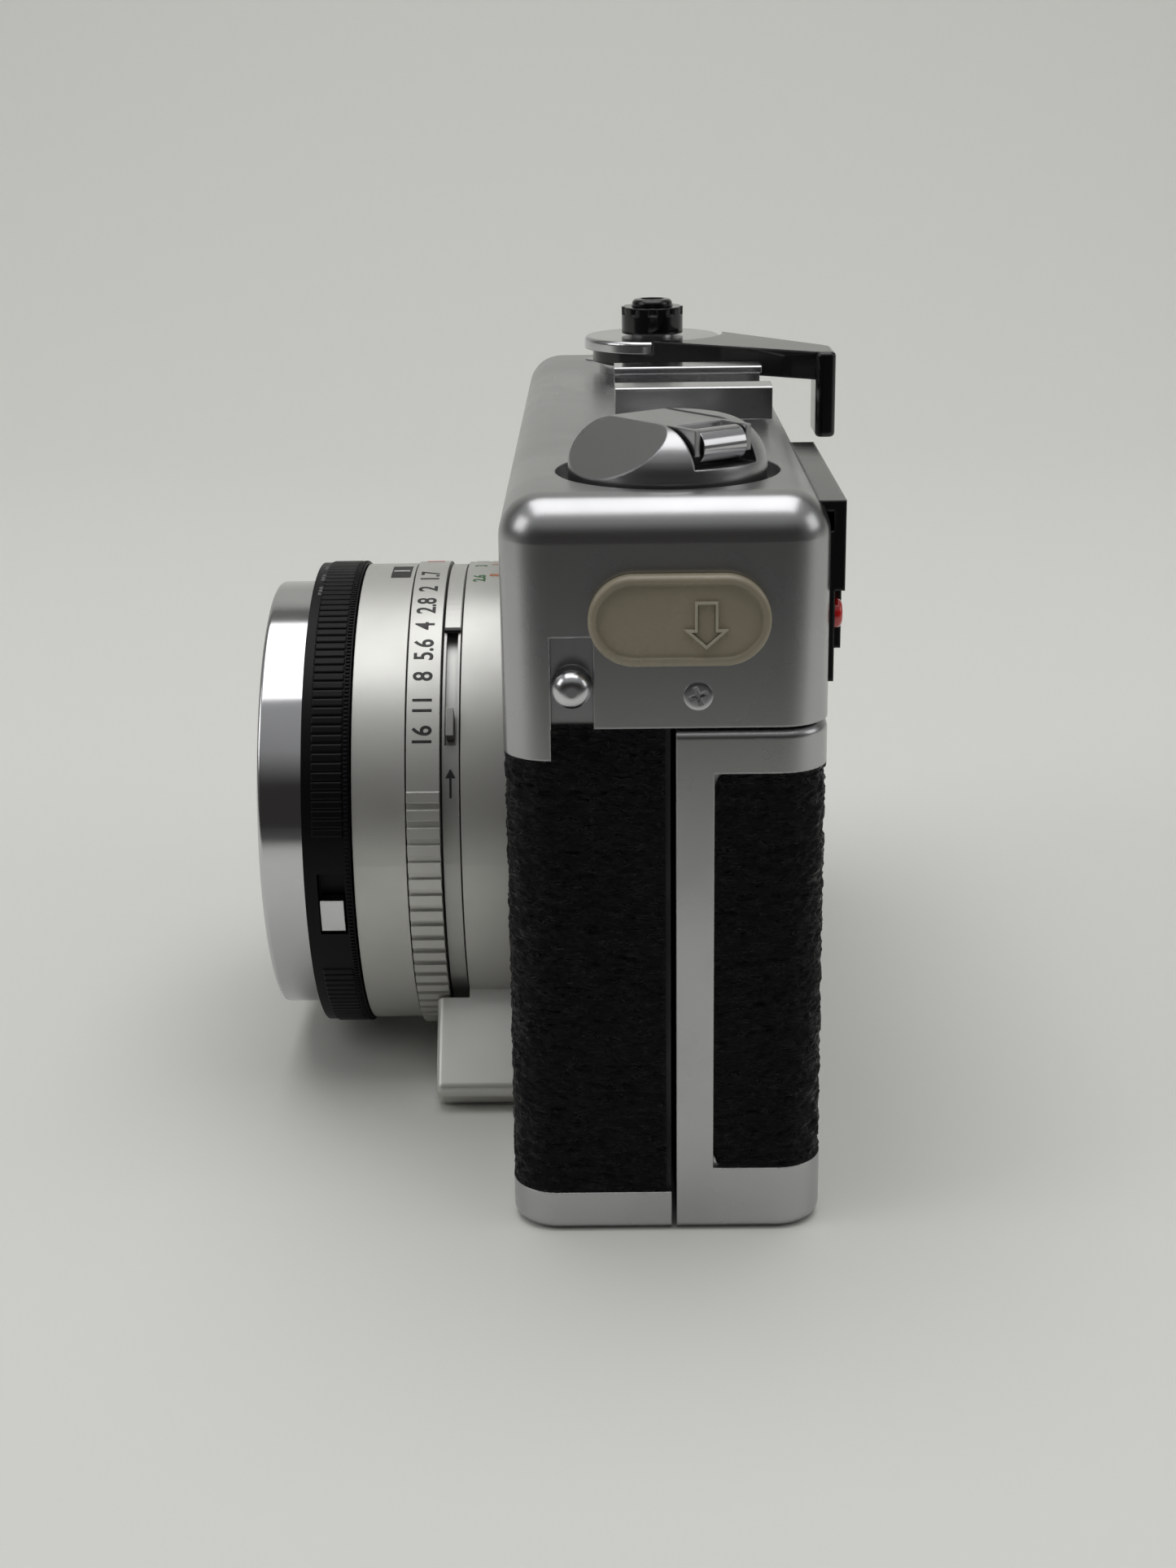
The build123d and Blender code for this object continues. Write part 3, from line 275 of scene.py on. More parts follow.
def roundedBox(name, size, bevel):
    work = bmesh.new()
    bmesh.ops.create_cube(work, size=1.0)
    for vert in work.verts:
        vert.co = Vector([axis * length * mm for axis, length in zip(vert.co, size)])
    if bevel:
        bmesh.ops.bevel(work, geom=work.edges[:], offset=bevel * mm, segments=2, profile=0.5, affect="EDGES")
    mesh = bpy.data.meshes.new(name)
    work.to_mesh(mesh)
    work.free()
    piece = bpy.data.objects.new(name, mesh)
    bpy.context.scene.collection.objects.link(piece)
    return piece


def lathe(name, profile, steps=96):
    # profile points are (radius, height) in mm, a closed loop, turned about Z
    verts, faces, count = [], [], len(profile)
    for step in range(steps):
        turn = 2 * math.pi * step / steps
        verts += [(r * mm * math.cos(turn), r * mm * math.sin(turn), z * mm) for r, z in profile]
    for step in range(steps):
        here, ahead = step * count, (step + 1) % steps * count
        for k in range(count):
            after = (k + 1) % count
            faces.append((here + k, ahead + k, ahead + after, here + after))
    piece = meshObject(name, verts, faces)
    tidyMesh(piece, smooth=True)
    piece.data.set_sharp_from_angle(angle=math.radians(40))
    return piece


# geometry node trees

def newTree(name, sockets):
    tree = bpy.data.node_groups.new(name, "GeometryNodeTree")
    tree.interface.new_socket("Geometry", in_out="INPUT", socket_type="NodeSocketGeometry")
    for label, kind in sockets:
        tree.interface.new_socket(label, in_out="INPUT", socket_type=kind)
    tree.interface.new_socket("Geometry", in_out="OUTPUT", socket_type="NodeSocketGeometry")
    return tree, tree.nodes.new("NodeGroupInput"), tree.nodes.new("NodeGroupOutput")


def endTree(tree, geometry, source, output):
    real = tree.nodes.new("GeometryNodeRealizeInstances")
    finish = tree.nodes.new("GeometryNodeSetMaterial")
    tree.links.new(geometry, real.inputs["Geometry"])
    tree.links.new(real.outputs["Geometry"], finish.inputs["Geometry"])
    tree.links.new(source.outputs["Finish"], finish.inputs["Material"])
    tree.links.new(finish.outputs["Geometry"], output.inputs["Geometry"])


def mathNode(tree, operation, first, second):
    node = tree.nodes.new("ShaderNodeMath")
    node.operation = operation
    for socket, value in zip(node.inputs, (first, second)):
        if isinstance(value, (int, float)):
            socket.default_value = value
        elif value is not None:
            tree.links.new(value, socket)
    return node.outputs["Value"]


def ringTree():
    tree, source, output = newTree("Ring Of Pieces", [
        ("Piece", "NodeSocketObject"), ("Count", "NodeSocketInt"), ("Radius", "NodeSocketFloat"),
        ("Start", "NodeSocketFloat"), ("Step", "NodeSocketFloat"), ("Finish", "NodeSocketMaterial")])
    line = tree.nodes.new("GeometryNodeMeshLine")
    tree.links.new(source.outputs["Count"], line.inputs["Count"])
    index = tree.nodes.new("GeometryNodeInputIndex").outputs["Index"]
    steps = mathNode(tree, "MULTIPLY", index, source.outputs["Step"])
    turn = mathNode(tree, "ADD", steps, source.outputs["Start"])
    spot = tree.nodes.new("ShaderNodeCombineXYZ")
    for axis, function in (("X", "COSINE"), ("Y", "SINE")):
        wave = mathNode(tree, function, turn, None)
        tree.links.new(mathNode(tree, "MULTIPLY", wave, source.outputs["Radius"]), spot.inputs[axis])
    move = tree.nodes.new("GeometryNodeSetPosition")
    tree.links.new(line.outputs["Mesh"], move.inputs["Geometry"])
    tree.links.new(spot.outputs["Vector"], move.inputs["Position"])
    rotation = tree.nodes.new("ShaderNodeCombineXYZ")
    tree.links.new(turn, rotation.inputs["Z"])
    info = tree.nodes.new("GeometryNodeObjectInfo")
    tree.links.new(source.outputs["Piece"], info.inputs["Object"])
    copies = tree.nodes.new("GeometryNodeInstanceOnPoints")
    tree.links.new(move.outputs["Geometry"], copies.inputs["Points"])
    tree.links.new(info.outputs["Geometry"], copies.inputs["Instance"])
    tree.links.new(rotation.outputs["Vector"], copies.inputs["Rotation"])
    endTree(tree, copies.outputs["Instances"], source, output)
    return tree


def leatherTree():
    tree, source, output = newTree("Leather Grain", [
        ("Fold Scale", "NodeSocketFloat"), ("Fold Height", "NodeSocketFloat"),
        ("Pebble Scale", "NodeSocketFloat"), ("Pebble Height", "NodeSocketFloat"),
        ("Finish", "NodeSocketMaterial")])
    spot = tree.nodes.new("GeometryNodeInputPosition").outputs["Position"]
    lengthen = tree.nodes.new("ShaderNodeVectorMath")
    lengthen.operation = "MULTIPLY"
    lengthen.inputs[1].default_value = (0.42, 0.42, 1.5)  # folds run along the body
    tree.links.new(spot, lengthen.inputs[0])
    total = None
    for label, distortion in (("Fold", 1.6), ("Pebble", 0.6)):
        field = tree.nodes.new("ShaderNodeTexNoise")
        field.inputs["Detail"].default_value = 2.0
        field.inputs["Distortion"].default_value = distortion
        tree.links.new(lengthen.outputs["Vector"], field.inputs["Vector"])
        tree.links.new(source.outputs[label + " Scale"], field.inputs["Scale"])
        level = mathNode(tree, "SUBTRACT", field.outputs["Fac"], 0.62)
        part = mathNode(tree, "MULTIPLY", level, source.outputs[label + " Height"])
        total = part if total is None else mathNode(tree, "ADD", total, part)
    push = tree.nodes.new("ShaderNodeVectorMath")
    push.operation = "SCALE"
    tree.links.new(tree.nodes.new("GeometryNodeInputNormal").outputs["Normal"], push.inputs[0])
    inside = tree.nodes.new("GeometryNodeInputNamedAttribute")
    inside.data_type = "FLOAT"
    inside.inputs["Name"].default_value = "inside"
    dent = mathNode(tree, "MINIMUM", total, 0.0)  # the grain only sinks, and not at the rim
    tree.links.new(mathNode(tree, "MULTIPLY", dent, inside.outputs["Attribute"]), push.inputs["Scale"])
    move = tree.nodes.new("GeometryNodeSetPosition")
    tree.links.new(source.outputs["Geometry"], move.inputs["Geometry"])
    tree.links.new(push.outputs["Vector"], move.inputs["Offset"])
    endTree(tree, move.outputs["Geometry"], source, output)
    return tree


trees = {"ring": ringTree(), "leather": leatherTree()}


def grow(host, tree, values):
    modifier = host.modifiers.new(tree.name, "NODES")
    modifier.node_group = tree
    for item in tree.interface.items_tree:
        if item.item_type == "SOCKET" and item.in_out == "INPUT" and item.name in values:
            modifier[item.identifier] = values[item.name]
    depsgraph = bpy.context.evaluated_depsgraph_get()
    mesh = bpy.data.meshes.new_from_object(host.evaluated_get(depsgraph), depsgraph=depsgraph)
    host.modifiers.clear()
    host.data = mesh
    return host


def ringOf(name, piece, count, radius, start, step, finish, body, matrix):
    host = meshObject(name, [(0, 0, 0)], [])
    grow(host, trees["ring"], {"Piece": piece, "Count": count, "Radius": radius * mm,
                               "Start": math.radians(start), "Step": math.radians(step),
                               "Finish": finishes[finish]})
    bpy.data.objects.remove(piece)
    return place(host, body, finish, matrix)


def lensAt(y):
    return lensPlace @ Matrix.Translation((0, 0, -y * mm))  # y is the body's own Y, in mm


# figures and marks, in mm

figureLift = 0.02  # how far a figure stands out
figureBold = 0.05  # how much its strokes are thickened
markRoot = 0.1  # how deep a mark starts below its surface


def figureMesh(text, size, thickness, bold=0.0):
    curve = bpy.data.curves.new("figure", "FONT")
    curve.body = text
    curve.size = size * mm
    curve.align_x = "CENTER"
    curve.align_y = "CENTER"
    curve.extrude = thickness * mm
    curve.offset = bold * mm
    curve.resolution_u = 4
    writer = bpy.data.objects.new("figure", curve)
    bpy.context.scene.collection.objects.link(writer)
    depsgraph = bpy.context.evaluated_depsgraph_get()
    mesh = bpy.data.meshes.new_from_object(writer.evaluated_get(depsgraph), depsgraph=depsgraph)
    bpy.data.objects.remove(writer)
    return mesh


def joinMeshes(name, meshes):
    work = bmesh.new()
    for mesh in meshes:
        work.from_mesh(mesh)
        bpy.data.meshes.remove(mesh)
    joined = bpy.data.meshes.new(name)
    work.to_mesh(joined)
    work.free()
    piece = bpy.data.objects.new(name, joined)
    bpy.context.scene.collection.objects.link(piece)
    return piece


def wrapRound(mesh, radius, turn, y):
    for vert in mesh.vertices:
        spot = vert.co.copy()
        angle = math.radians(turn) + spot.x / (radius * mm)
        reach = radius * mm + spot.z
        vert.co = (reach * math.cos(angle), y * mm - spot.y, lensHeight + reach * math.sin(angle))


def ringFigures(name, texts, ring, finish, body, narrow=0.82):
    meshes = []
    for k, text in enumerate(texts):
        mesh = figureMesh(text, ring["size"], figureLift, figureBold)
        mesh.transform(Matrix.Scale(narrow, 4, (1, 0, 0)))
        wrapRound(mesh, ring["radius"], ring["first"] + ring["step"] * k, ring["y"])
        meshes.append(mesh)
    return place(joinMeshes(name, meshes), body, finish)


def ringPatch(name, outlines, ring, finish, body, thickness=0.03, across=24):
    # outlines are strips (turn in degrees, length low, high, width low, high in mm): length runs round
    # the ring, width along the lens's axis
    verts, faces = [], []
    radius = ring["radius"]
    for turn, low, high, near, far in outlines:
        base = len(verts)
        for step in range(across + 1):
            angle = math.radians(turn) + (low + (high - low) * step / across) / radius
            for reach in ((radius - markRoot) * mm, (radius + thickness) * mm):
                x, z = reach * math.cos(angle), lensHeight + reach * math.sin(angle)
                verts += [(x, (ring["y"] - side) * mm, z) for side in (near, far)]
        for step in range(across):
            a = base + 4 * step
            b = a + 4
            faces += [(a, b, b + 1, a + 1), (a + 2, a + 3, b + 3, b + 2)]
            faces += [(a, a + 2, b + 2, b), (a + 1, b + 1, b + 3, a + 3)]
        faces += [(base, base + 1, base + 3, base + 2)]
        end = base + 4 * across
        faces += [(end, end + 2, end + 3, end + 1)]
    piece = meshObject(name, verts, faces)
    tidyMesh(piece, 0.00001)
    return place(piece, body, finish)


def strip(turn, halfLength, halfWidth):
    return [(turn, -halfLength, halfLength, -halfWidth, halfWidth)]


# lens details: first and step are degrees round the lens, sizes and y are mm

aperture = {"radius": 26.5, "y": -24.75, "size": 2.9, "first": 30.0, "step": 7.4}
apertureMark = {"turn": 99.0, "halfLength": 0.5, "halfWidth": 1.0}
stops = ["16", "11", "8", "5.6", "4", "2.8", "2", "1.7"]
ringFigures("apertureFigures", stops, aperture, "inkBlack", "aperture")
ringPatch("apertureRedMark", strip(**apertureMark), aperture, "inkRed", "aperture")

speed = {"radius": 26.5, "y": -36.2, "size": 1.9, "first": 74.0, "step": 7.5}
speeds = ["500", "250", "125", "60", "30", "15", "8", "4"]
ringFigures("speedFigures", speeds, speed, "inkGrey", "speed", 0.7)

ribs = {
    "speedFlutes": {"size": (0.5, 0.95, 3.4), "bevel": 0.2, "count": 150, "first": 8, "step": 2.16,
                    "y": -34.9},
    "speedKnurl": {"size": (0.5, 0.3, 0.5), "bevel": 0.08, "count": 360, "first": 0, "step": 1.0,
                   "y": -32.9},
}
ribRadius = 26.4
for ribName, rib in ribs.items():
    oneRib = roundedBox("oneRib", rib["size"], rib["bevel"])
    ringOf(ribName, oneRib, rib["count"], ribRadius, rib["first"], rib["step"], "blackLens", "speed",
           lensAt(rib["y"]))

index = {"radius": 26.3, "y": -28.2, "lineLift": 0.03}
indexBlock = {"turn": 87.0, "halfLength": 2.3, "halfWidth": 1.1}
indexLine = {"turn": 87.0, "halfLength": 0.18, "halfWidth": 0.9}
ringPatch("indexBlock", strip(**indexBlock), index, "inkBlack", "lens_unit")
lineRing = {"radius": index["radius"] + index["lineLift"], "y": index["y"]}
ringPatch("indexLine", strip(**indexLine), lineRing, "inkWhite", "lens_unit")

band = {"radius": 25.8, "y": -21.9, "stepLift": 0.35, "lineLift": 0.38, "arrowLift": 0.03}
timerStep = {"turn": 85.0, "halfLength": 11.5, "halfWidth": 0.85}
timerLine = {"turn": 59.2, "halfLength": 0.2, "halfWidth": 0.88}
ringPatch("timerStep", strip(**timerStep), band, "satinLens", "lens_unit", band["stepLift"])
ringPatch("timerLine", strip(**timerLine), band, "inkBlack", "lens_unit", band["lineLift"])
timerArrow = {"turn": 19.0, "back": -1.5, "neck": 0.6, "halfShaft": 0.12, "halfHead": 0.5, "cuts": 6,
              "cutLength": 0.18, "cutStep": 0.15, "taper": 0.08}
arrowParts = [(timerArrow["turn"], timerArrow["back"], timerArrow["neck"],
               -timerArrow["halfShaft"], timerArrow["halfShaft"])]
for k in range(timerArrow["cuts"]):
    start = timerArrow["neck"] + timerArrow["cutStep"] * k
    half = timerArrow["halfHead"] - timerArrow["taper"] * k
    arrowParts.append((timerArrow["turn"], start, start + timerArrow["cutLength"], -half, half))
ringPatch("timerArrow", arrowParts, band, "inkBlack", "lens_unit", band["arrowLift"], 6)

feet = {"radius": 26.4, "y": -19.3, "size": 1.9, "first": 80.5, "step": 10.5}
metres = {"radius": 26.4, "y": -17.5, "size": 1.9, "first": 82.0, "step": 10.5}
ringFigures("feetFigures", ["2.6", "3", "4", "5", "7", "10", "20"], feet, "inkGreen", "focus")
ringFigures("metreFigures", [".8", "1", "1.2", "1.5", "2", "3", "6"], metres, "inkOrange", "focus")

nameLine = {"width": 0.25, "foot": -0.4, "lift": 0.06}
nameLineAt = {"Inner": {"radius": 15.6, "y": -38.6}, "Outer": {"radius": 19.8, "y": -39.4}}
for label, line in nameLineAt.items():
    inner, outer = line["radius"], line["radius"] + nameLine["width"]
    loop = [(inner, nameLine["foot"]), (outer, nameLine["foot"]), (outer, nameLine["lift"]),
            (inner, nameLine["lift"])]
    place(lathe("nameRing" + label, loop), "lens_unit", "inkWhite", lensAt(line["y"]))

rim = {"inner": 13.0, "outer": 13.9, "foot": -0.8, "shoulder": 0.1, "crown": 0.35, "y": -38.2,
       "innerBevel": 0.2, "outerBevel": 0.3}
rimLoop = [(rim["inner"], rim["foot"]), (rim["outer"], rim["foot"]), (rim["outer"], rim["shoulder"]),
           (rim["outer"] - rim["outerBevel"], rim["crown"]),
           (rim["inner"] + rim["innerBevel"], rim["crown"]), (rim["inner"], rim["shoulder"])]
place(lathe("glassRim", rimLoop), "lens_unit", "blackPaint", lensAt(rim["y"]))

thread = {"root": 22.95, "depth": 0.28, "halfPitch": 0.25, "points": 11, "outer": 23.4, "low": -2.6,
          "y": -42.5, "steps": 128}
threadLoop = [(thread["root"] - (0.0 if k % 2 else thread["depth"]), -thread["halfPitch"] * k)
              for k in range(thread["points"])]
threadLoop += [(thread["outer"], thread["low"]), (thread["outer"], 0.0)]
place(lathe("filterThread", threadLoop, thread["steps"]), "lens_unit", "brightChrome",
      lensAt(thread["y"]))
print("lens details done")


# end face: latch arrow

def insetLoop(points, amount):
    inner = []
    for k, point in enumerate(points):
        before, after = Vector(points[k - 1]), Vector(points[(k + 1) % len(points)])
        spot = Vector(point)
        first, second = (spot - before).normalized(), (after - spot).normalized()
        normals = [Vector((-edge.y, edge.x)) for edge in (first, second)]
        miter = (normals[0] + normals[1]).normalized()
        inner.append(tuple(spot + miter * amount / miter.dot(normals[0])))
    return inner


def outlineOnEnd(name, points, width, x, height, finish, body):
    # a raised outline on a face square to X; points are (y, z), counter-clockwise seen from +X
    inner = insetLoop(points, width)
    count = len(points)
    verts = [(x + lift, y, z) for lift in (-markRoot, height) for loop in (points, inner) for y, z in loop]
    verts = [[value * mm for value in vert] for vert in verts]
    faces = []
    for k in range(count):  # front, outer wall, inner wall and back
        n = (k + 1) % count
        faces += [(2 * count + k, 2 * count + n, 3 * count + n, 3 * count + k),
                  (k, n, 2 * count + n, 2 * count + k),
                  (count + n, count + k, 3 * count + k, 3 * count + n), (k, count + k, count + n, n)]
    piece = meshObject(name, verts, faces)
    tidyMesh(piece)
    return place(piece, body, finish)


# the arrow's raised outline is drawn in the lighter ivory as a painted highlight
latch = {"x": 55.1, "y": 3.58, "top": 62.98, "neck": 60.46, "tip": 58.63, "shaft": 1.04, "head": 2.04,
         "line": 0.26, "lift": 0.26, "shade": 0.07, "shadeLift": 0.03}
arrow = [(latch["y"] - latch["shaft"], latch["top"]), (latch["y"] - latch["shaft"], latch["neck"]),
         (latch["y"] - latch["head"], latch["neck"]), (latch["y"], latch["tip"]),
         (latch["y"] + latch["head"], latch["neck"]), (latch["y"] + latch["shaft"], latch["neck"]),
         (latch["y"] + latch["shaft"], latch["top"])]
outlineOnEnd("latchArrow", arrow, latch["line"], latch["x"], latch["lift"], "ivoryPaintedHighlight", "latch")
# the thin dark strip just inside the outline is painted shade
outlineOnEnd("latchArrowShade", insetLoop(arrow, latch["line"]), latch["shade"], latch["x"],
             latch["shadeLift"], "paintedShade", "latch")


# leatherette with real folds

hull = {"halfX": 54.0, "halfY": 15.0, "corner": 4.5}
sheets = {"pitch": 0.34, "mount": 22.85, "tongue": 12.0, "tongueLow": 48.0, "tongueBack": -10.5,
          "frontThick": 0.75, "doorThick": 0.55, "doorCorner": 1.6}
leatherGrain = {"foldScale": 900.0, "foldHeight": 1.1, "pebbleScale": 2400.0, "pebbleHeight": 0.35}


def straight(start, end):
    start, end = Vector(start), Vector(end)
    steps = max(1, round((end - start).length / sheets["pitch"]))
    return [start.lerp(end, k / steps) for k in range(steps)]


def planPath(endY, side):
    # points along one side of the body's plan, in mm: +X end, front (side -1) or back (side 1), -X end
    corner = hull["corner"]
    flatX, flatY = hull["halfX"] - corner, hull["halfY"] - corner
    turns = max(4, round(corner * math.pi / 2 / sheets["pitch"]))
    arc = [(corner * math.cos(math.pi / 2 * k / turns), corner * math.sin(math.pi / 2 * k / turns))
           for k in range(turns)]
    path = straight((hull["halfX"], endY), (hull["halfX"], side * flatY))
    path += [Vector((flatX + out, side * (flatY + along))) for out, along in arc]
    path += straight((flatX, side * hull["halfY"]), (-flatX, side * hull["halfY"]))
    path += [Vector((-flatX - along, side * (flatY + out))) for out, along in arc]
    path += straight((-hull["halfX"], side * flatY), (-hull["halfX"], endY))
    path.append(Vector((-hull["halfX"], endY)))
    return path


def cornerInset(path, k, corner):
    fromEnd = min((path[k] - path[0]).length, (path[k] - path[-1]).length)
    if fromEnd >= corner:
        return 0.0
    return corner - math.sqrt(corner ** 2 - (corner - fromEnd) ** 2)


def leatherSheet(name, node, body, path, low, high, thickness, keep, corner=0.0):
    rows = round((high - low) / sheets["pitch"])
    heights = [low + (high - low) * k / rows for k in range(rows + 1)]
    middle = (low + high) / 2
    verts = []
    for k, spot in enumerate(path):
        squeeze = 1 - 2 * cornerInset(path, k, corner) / (high - low)
        verts += [(spot.x * mm, spot.y * mm, (middle + (z - middle) * squeeze) * mm) for z in heights]
    faces = []
    for k in range(len(path) - 1):
        between = (path[k] + path[k + 1]) / 2
        for n in range(rows):
            if keep(between.x, between.y, (heights[n] + heights[n + 1]) / 2):
                a = k * (rows + 1) + n
                faces.append((a, a + rows + 1, a + rows + 2, a + 1))
    piece = meshObject(name, verts, faces)
    work = bmesh.new()
    work.from_mesh(piece.data)
    bmesh.ops.delete(work, geom=[v for v in work.verts if not v.link_faces], context="VERTS")
    bmesh.ops.recalc_face_normals(work, faces=work.faces)
    work.faces.ensure_lookup_table()
    front = max(work.faces, key=lambda face: abs(face.normal.y))
    centre = front.calc_center_median()
    if front.normal.y * centre.y < 0:
        bmesh.ops.reverse_faces(work, faces=work.faces[:])
    edgeVerts = {vert for edge in work.edges if edge.is_boundary for vert in edge.verts}
    work.verts.index_update()
    inside = [0.0 if vert in edgeVerts else 1.0 for vert in work.verts]
    work.to_mesh(piece.data)
    work.free()
    field = piece.data.attributes.new("inside", "FLOAT", "POINT")
    field.data.foreach_set("value", inside)
    grow(piece, trees["leather"], {"Fold Scale": leatherGrain["foldScale"],
                                   "Fold Height": leatherGrain["foldHeight"] * mm,
                                   "Pebble Scale": leatherGrain["pebbleScale"],
                                   "Pebble Height": leatherGrain["pebbleHeight"] * mm,
                                   "Finish": finishes["leather"]})
    solid = bmesh.new()
    solid.from_mesh(piece.data)
    rim = [edge for edge in solid.edges if edge.is_boundary]
    skirt = bmesh.ops.extrude_edge_only(solid, edges=rim)
    moved = [item for item in skirt["geom"] if isinstance(item, bmesh.types.BMVert)]
    coreX, coreY = (hull["halfX"] - hull["corner"]) * mm, (hull["halfY"] - hull["corner"]) * mm
    for vert in moved:
        core = Vector((max(-coreX, min(coreX, vert.co.x)), max(-coreY, min(coreY, vert.co.y))))
        away = Vector((vert.co.x, vert.co.y)) - core
        if away.length > 1e-6:
            step = away.normalized() * thickness * mm
            vert.co.x -= step.x
            vert.co.y -= step.y
    bmesh.ops.recalc_face_normals(solid, faces=solid.faces)
    solid.to_mesh(piece.data)
    solid.free()
    for face in piece.data.polygons:
        face.use_smooth = True
    piece.data.set_sharp_from_angle(angle=math.radians(60))
    place(piece, body, "leather")
    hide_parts(node)


def keepFront(x, y, z):  # all but the lens mount and the cover's tongues
    if math.hypot(x, z - lensHeight / mm) < sheets["mount"]:
        return y > 0
    besideTongue = abs(x) > hull["halfX"] - sheets["tongue"]
    return not (z > sheets["tongueLow"] and besideTongue and y < sheets["tongueBack"])


frontBox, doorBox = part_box("front_leatherette"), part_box("door_leatherette")
leatherSheet("frontLeather", "front_leatherette", "chassis", planPath(frontBox[1].y / mm, -1),
             frontBox[0].z / mm, frontBox[1].z / mm, sheets["frontThick"], keepFront)
doorPath = [spot for spot in planPath(doorBox[0].y / mm, 1) if spot.x >= doorBox[0].x / mm]
leatherSheet("doorLeather", "door_leatherette", "door", doorPath, doorBox[0].z / mm, doorBox[1].z / mm,
             sheets["doorThick"], lambda x, y, z: True, sheets["doorCorner"])
print("leatherettes done")


# counter figures and cover screws

counter = {"x": -45.5, "y": -2.0, "z": 70.4, "reach": 3.6, "size": 1.3, "marks": 15, "frames": 5,
           "step": 24.0}
dialMeshes = []
for k in range(counter["marks"]):
    mesh = figureMesh("." if k % 2 else str(k * counter["frames"]), counter["size"], figureLift)
    mesh.transform(Matrix.Translation((0, -counter["reach"] * mm, 0)))
    mesh.transform(Matrix.Rotation(math.radians(-counter["step"] * k), 4, "Z"))
    mesh.transform(Matrix.Translation([counter[axis] * mm for axis in "xyz"]))
    dialMeshes.append(mesh)
place(joinMeshes("counterFigures", dialMeshes), "counter", "inkWhite")


screw = {"radius": 1.35, "height": 0.07, "foot": -0.6, "y": 2.9, "z": 54.0, "turn": 20, "slotDeep": 0.9}


def crossHead(name, radius, height):
    outline = [(0, screw["foot"]), (radius, screw["foot"]), (radius, 0.0), (radius * 0.93, height * 0.6),
               (radius * 0.7, height), (0, height)]
    piece = lathe(name, outline, 48)
    for turn in (screw["turn"], screw["turn"] + 90):
        cutter = roundedBox("cutter", (radius * 1.25, radius * 0.28, screw["slotDeep"]), 0)
        lift = Matrix.Translation((0, 0, height * mm))
        cutter.data.transform(Matrix.Rotation(math.radians(turn), 4, "Z") @ lift)
        cut = piece.modifiers.new("cross", "BOOLEAN")
        cut.object = cutter
        cut.solver = "EXACT"
        depsgraph = bpy.context.evaluated_depsgraph_get()
        mesh = bpy.data.meshes.new_from_object(piece.evaluated_get(depsgraph), depsgraph=depsgraph)
        piece.modifiers.clear()
        piece.data = mesh
        bpy.data.objects.remove(cutter)
    return piece


for side, label in ((1, "Near"), (-1, "Far")):
    head = crossHead("coverScrew" + label, screw["radius"], screw["height"])
    spot = Matrix.Translation((side * hull["halfX"] * mm, screw["y"] * mm, screw["z"] * mm))
    place(head, "chassis", "darkChrome", spot @ Matrix.Rotation(side * math.pi / 2, 4, "Y"))
print("top details done")


# stage, light and camera

# the paper runs from near X to a wall at back X, and turns dark between pale X and dim X: the dark near
# floor is painted shade
room = {"half": 1.6, "near": 1.2, "pale": 0.13, "dim": 0.24, "back": -0.75, "bend": 0.35, "top": 1.4,
        "steps": 16, "paper": (0.745, 0.745, 0.712), "dark": (0.06, 0.06, 0.058)}


def buildStage():
    profile = [(room["near"], 0.0), (room["back"] + room["bend"], 0.0)]
    for k in range(1, room["steps"] + 1):
        turn = math.pi / 2 * k / room["steps"]
        x = room["back"] + room["bend"] * (1 - math.sin(turn))
        profile.append((x, room["bend"] * (1 - math.cos(turn))))
    profile.append((room["back"], room["top"]))
    verts = [(x, side * room["half"], z) for x, z in profile for side in (-1, 1)]
    faces = [(2 * k, 2 * k + 1, 2 * k + 3, 2 * k + 2) for k in range(len(profile) - 1)]
    sweep = meshObject("sweep", verts, faces)
    for face in sweep.data.polygons:
        face.use_smooth = True
    finish, tree, shader, coords = startFinish("sweepPaper")
    along = tree.nodes.new("ShaderNodeSeparateXYZ")
    tree.links.new(coords, along.inputs["Vector"])
    reach = spread(tree, along.outputs["X"], 0.0, 1.0, room["pale"], room["dim"])
    paper = blendColors(tree, reach, room["paper"], room["dark"], 0.0, 1.0)
    tree.links.new(paper, shader.inputs["Base Color"])
    shader.inputs["Roughness"].default_value = 0.7
    sweep.data.materials.append(finish)


lightAim = (0, 0, 0.03)
lights = {
    "topLight": {"spot": (-0.05, 0.0, 0.95), "side": 0.9, "power": 5.2},
    "frontLight": {"spot": (0.25, -0.85, 0.55), "side": 0.5, "power": 1.3},
    "backLight": {"spot": (0.15, 0.95, 0.45), "side": 0.5, "power": 0.9},
}


def addLight(name, spot, side, power):
    light = bpy.data.lights.new(name, "AREA")
    light.shape = "RECTANGLE"
    light.size = light.size_y = side
    light.energy = power
    lamp = bpy.data.objects.new(name, light)
    bpy.context.scene.collection.objects.link(lamp)
    lamp.location = spot
    lamp.rotation_euler = (Vector(lightAim) - Vector(spot)).to_track_quat("-Z", "Y").to_euler()


# the air is lighter overhead, and darker low down on the +X side
air = {"low": (0.26, 0.26, 0.255), "high": (0.85, 0.86, 0.86), "dark": (0.085, 0.079, 0.076),
       "strength": 0.42}


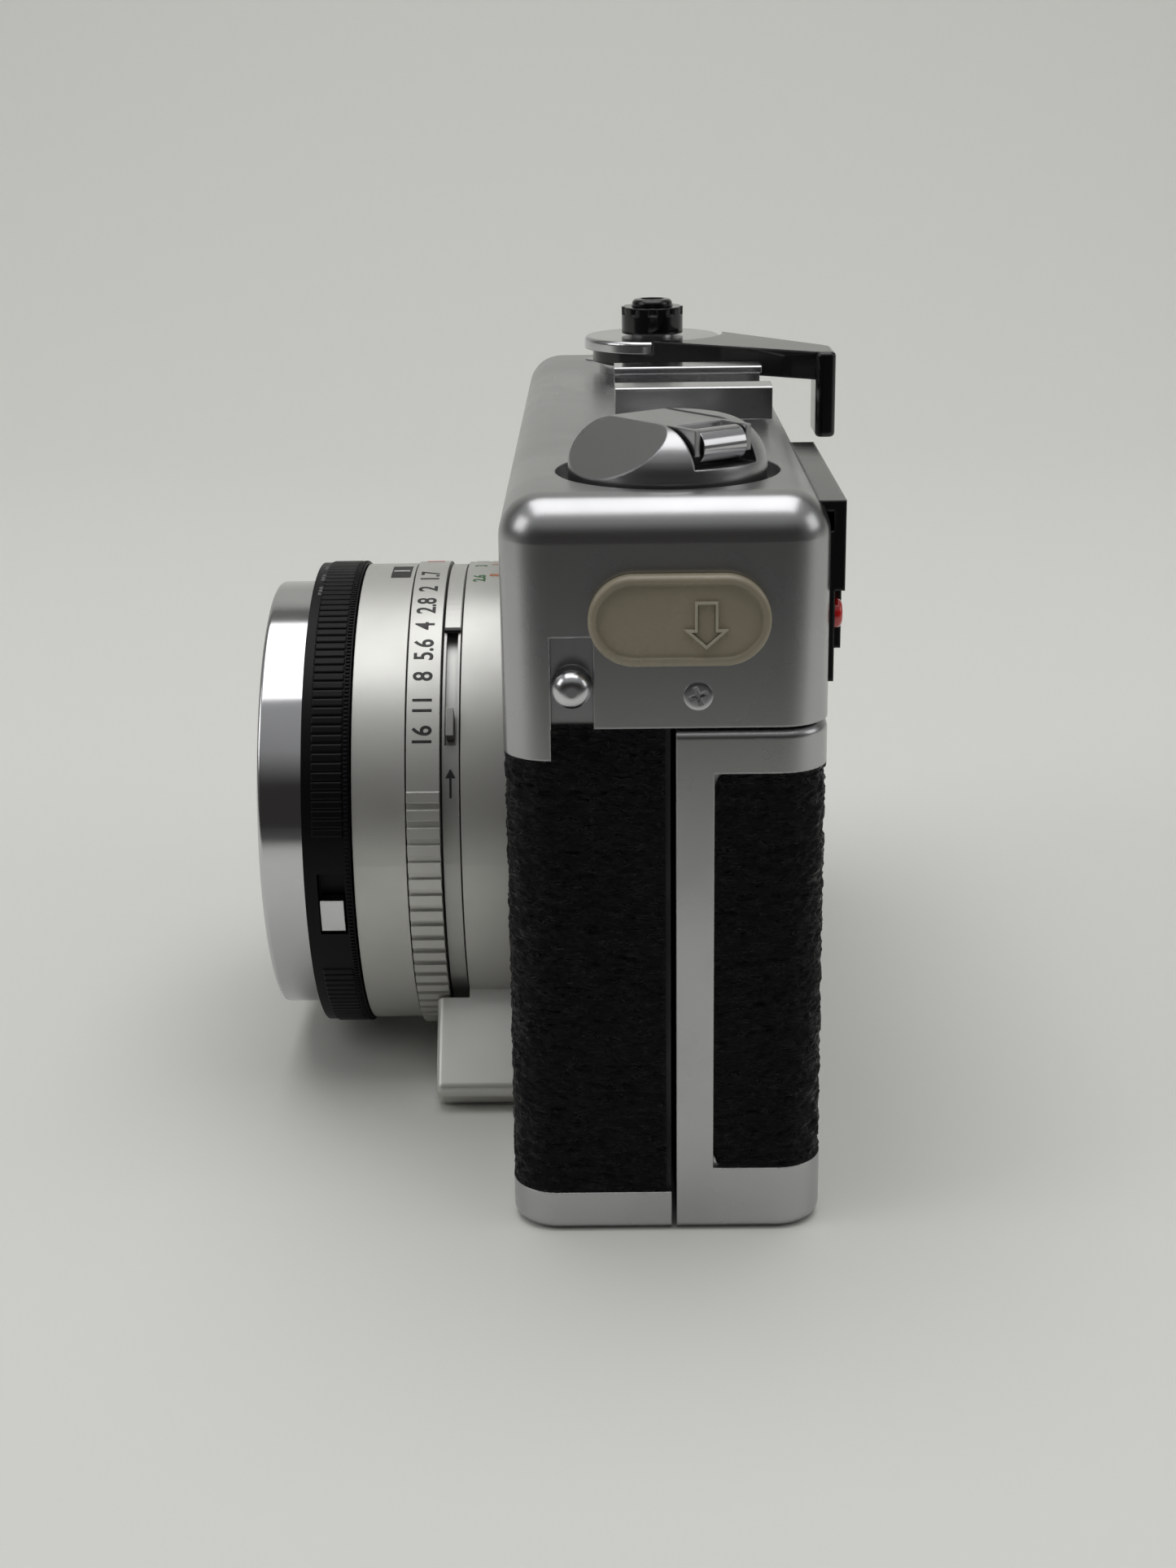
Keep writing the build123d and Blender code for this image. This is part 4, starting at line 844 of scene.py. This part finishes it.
def buildWorld():
    world = bpy.data.worlds.new("room")
    bpy.context.scene.world = world
    world.use_nodes = True
    tree = world.node_tree
    back = tree.nodes["Background"]
    split = tree.nodes.new("ShaderNodeSeparateXYZ")
    tree.links.new(tree.nodes.new("ShaderNodeTexCoord").outputs["Generated"], split.inputs["Vector"])
    height = blendColors(tree, split.outputs["Z"], air["low"], air["high"], 0.1, 0.8)
    near = spread(tree, split.outputs["X"], 0.0, 1.0, 0.45, 0.75)
    low = spread(tree, split.outputs["Z"], 1.0, 0.0, 0.35, 0.62)
    mix = tree.nodes.new("ShaderNodeMix")
    mix.data_type = "RGBA"
    tree.links.new(mathNode(tree, "MULTIPLY", near, low), mix.inputs["Factor"])
    colors = [socket for socket in mix.inputs if socket.type == "RGBA"]
    tree.links.new(height, colors[0])
    colors[1].default_value = (*air["dark"], 1)
    result = [socket for socket in mix.outputs if socket.type == "RGBA"][0]
    tree.links.new(result, back.inputs["Color"])
    back.inputs["Strength"].default_value = air["strength"]


buildStage()
buildWorld()
for lightName, light in lights.items():
    addLight(lightName, **light)

eye = {"place": (0.24881, -0.00539, 0.10805), "down": 17.72, "aside": -0.52, "roll": -0.79, "lens": 51.43}


def buildCamera():
    down, aside, roll = (math.radians(eye[key]) for key in ("down", "aside", "roll"))
    forward = Vector((-math.cos(down) * math.cos(aside), math.cos(down) * math.sin(aside), -math.sin(down)))
    flat = forward.cross(Vector((0, 0, 1))).normalized()
    rise = flat.cross(forward)
    right = flat * math.cos(roll) + rise * math.sin(roll)
    up = rise * math.cos(roll) - flat * math.sin(roll)
    camera = bpy.data.cameras.new("camera")
    camera.lens = eye["lens"]
    camera.sensor_width = 36
    camera.sensor_fit = "AUTO"
    camera.clip_start = 0.005
    holder = bpy.data.objects.new("camera", camera)
    bpy.context.scene.collection.objects.link(holder)
    turn = Matrix((right, up, -forward)).transposed().to_4x4()
    holder.matrix_world = Matrix.Translation(eye["place"]) @ turn
    bpy.context.scene.camera = holder


buildCamera()
bpy.context.scene.view_settings.view_transform = "Standard"
print("stage done")
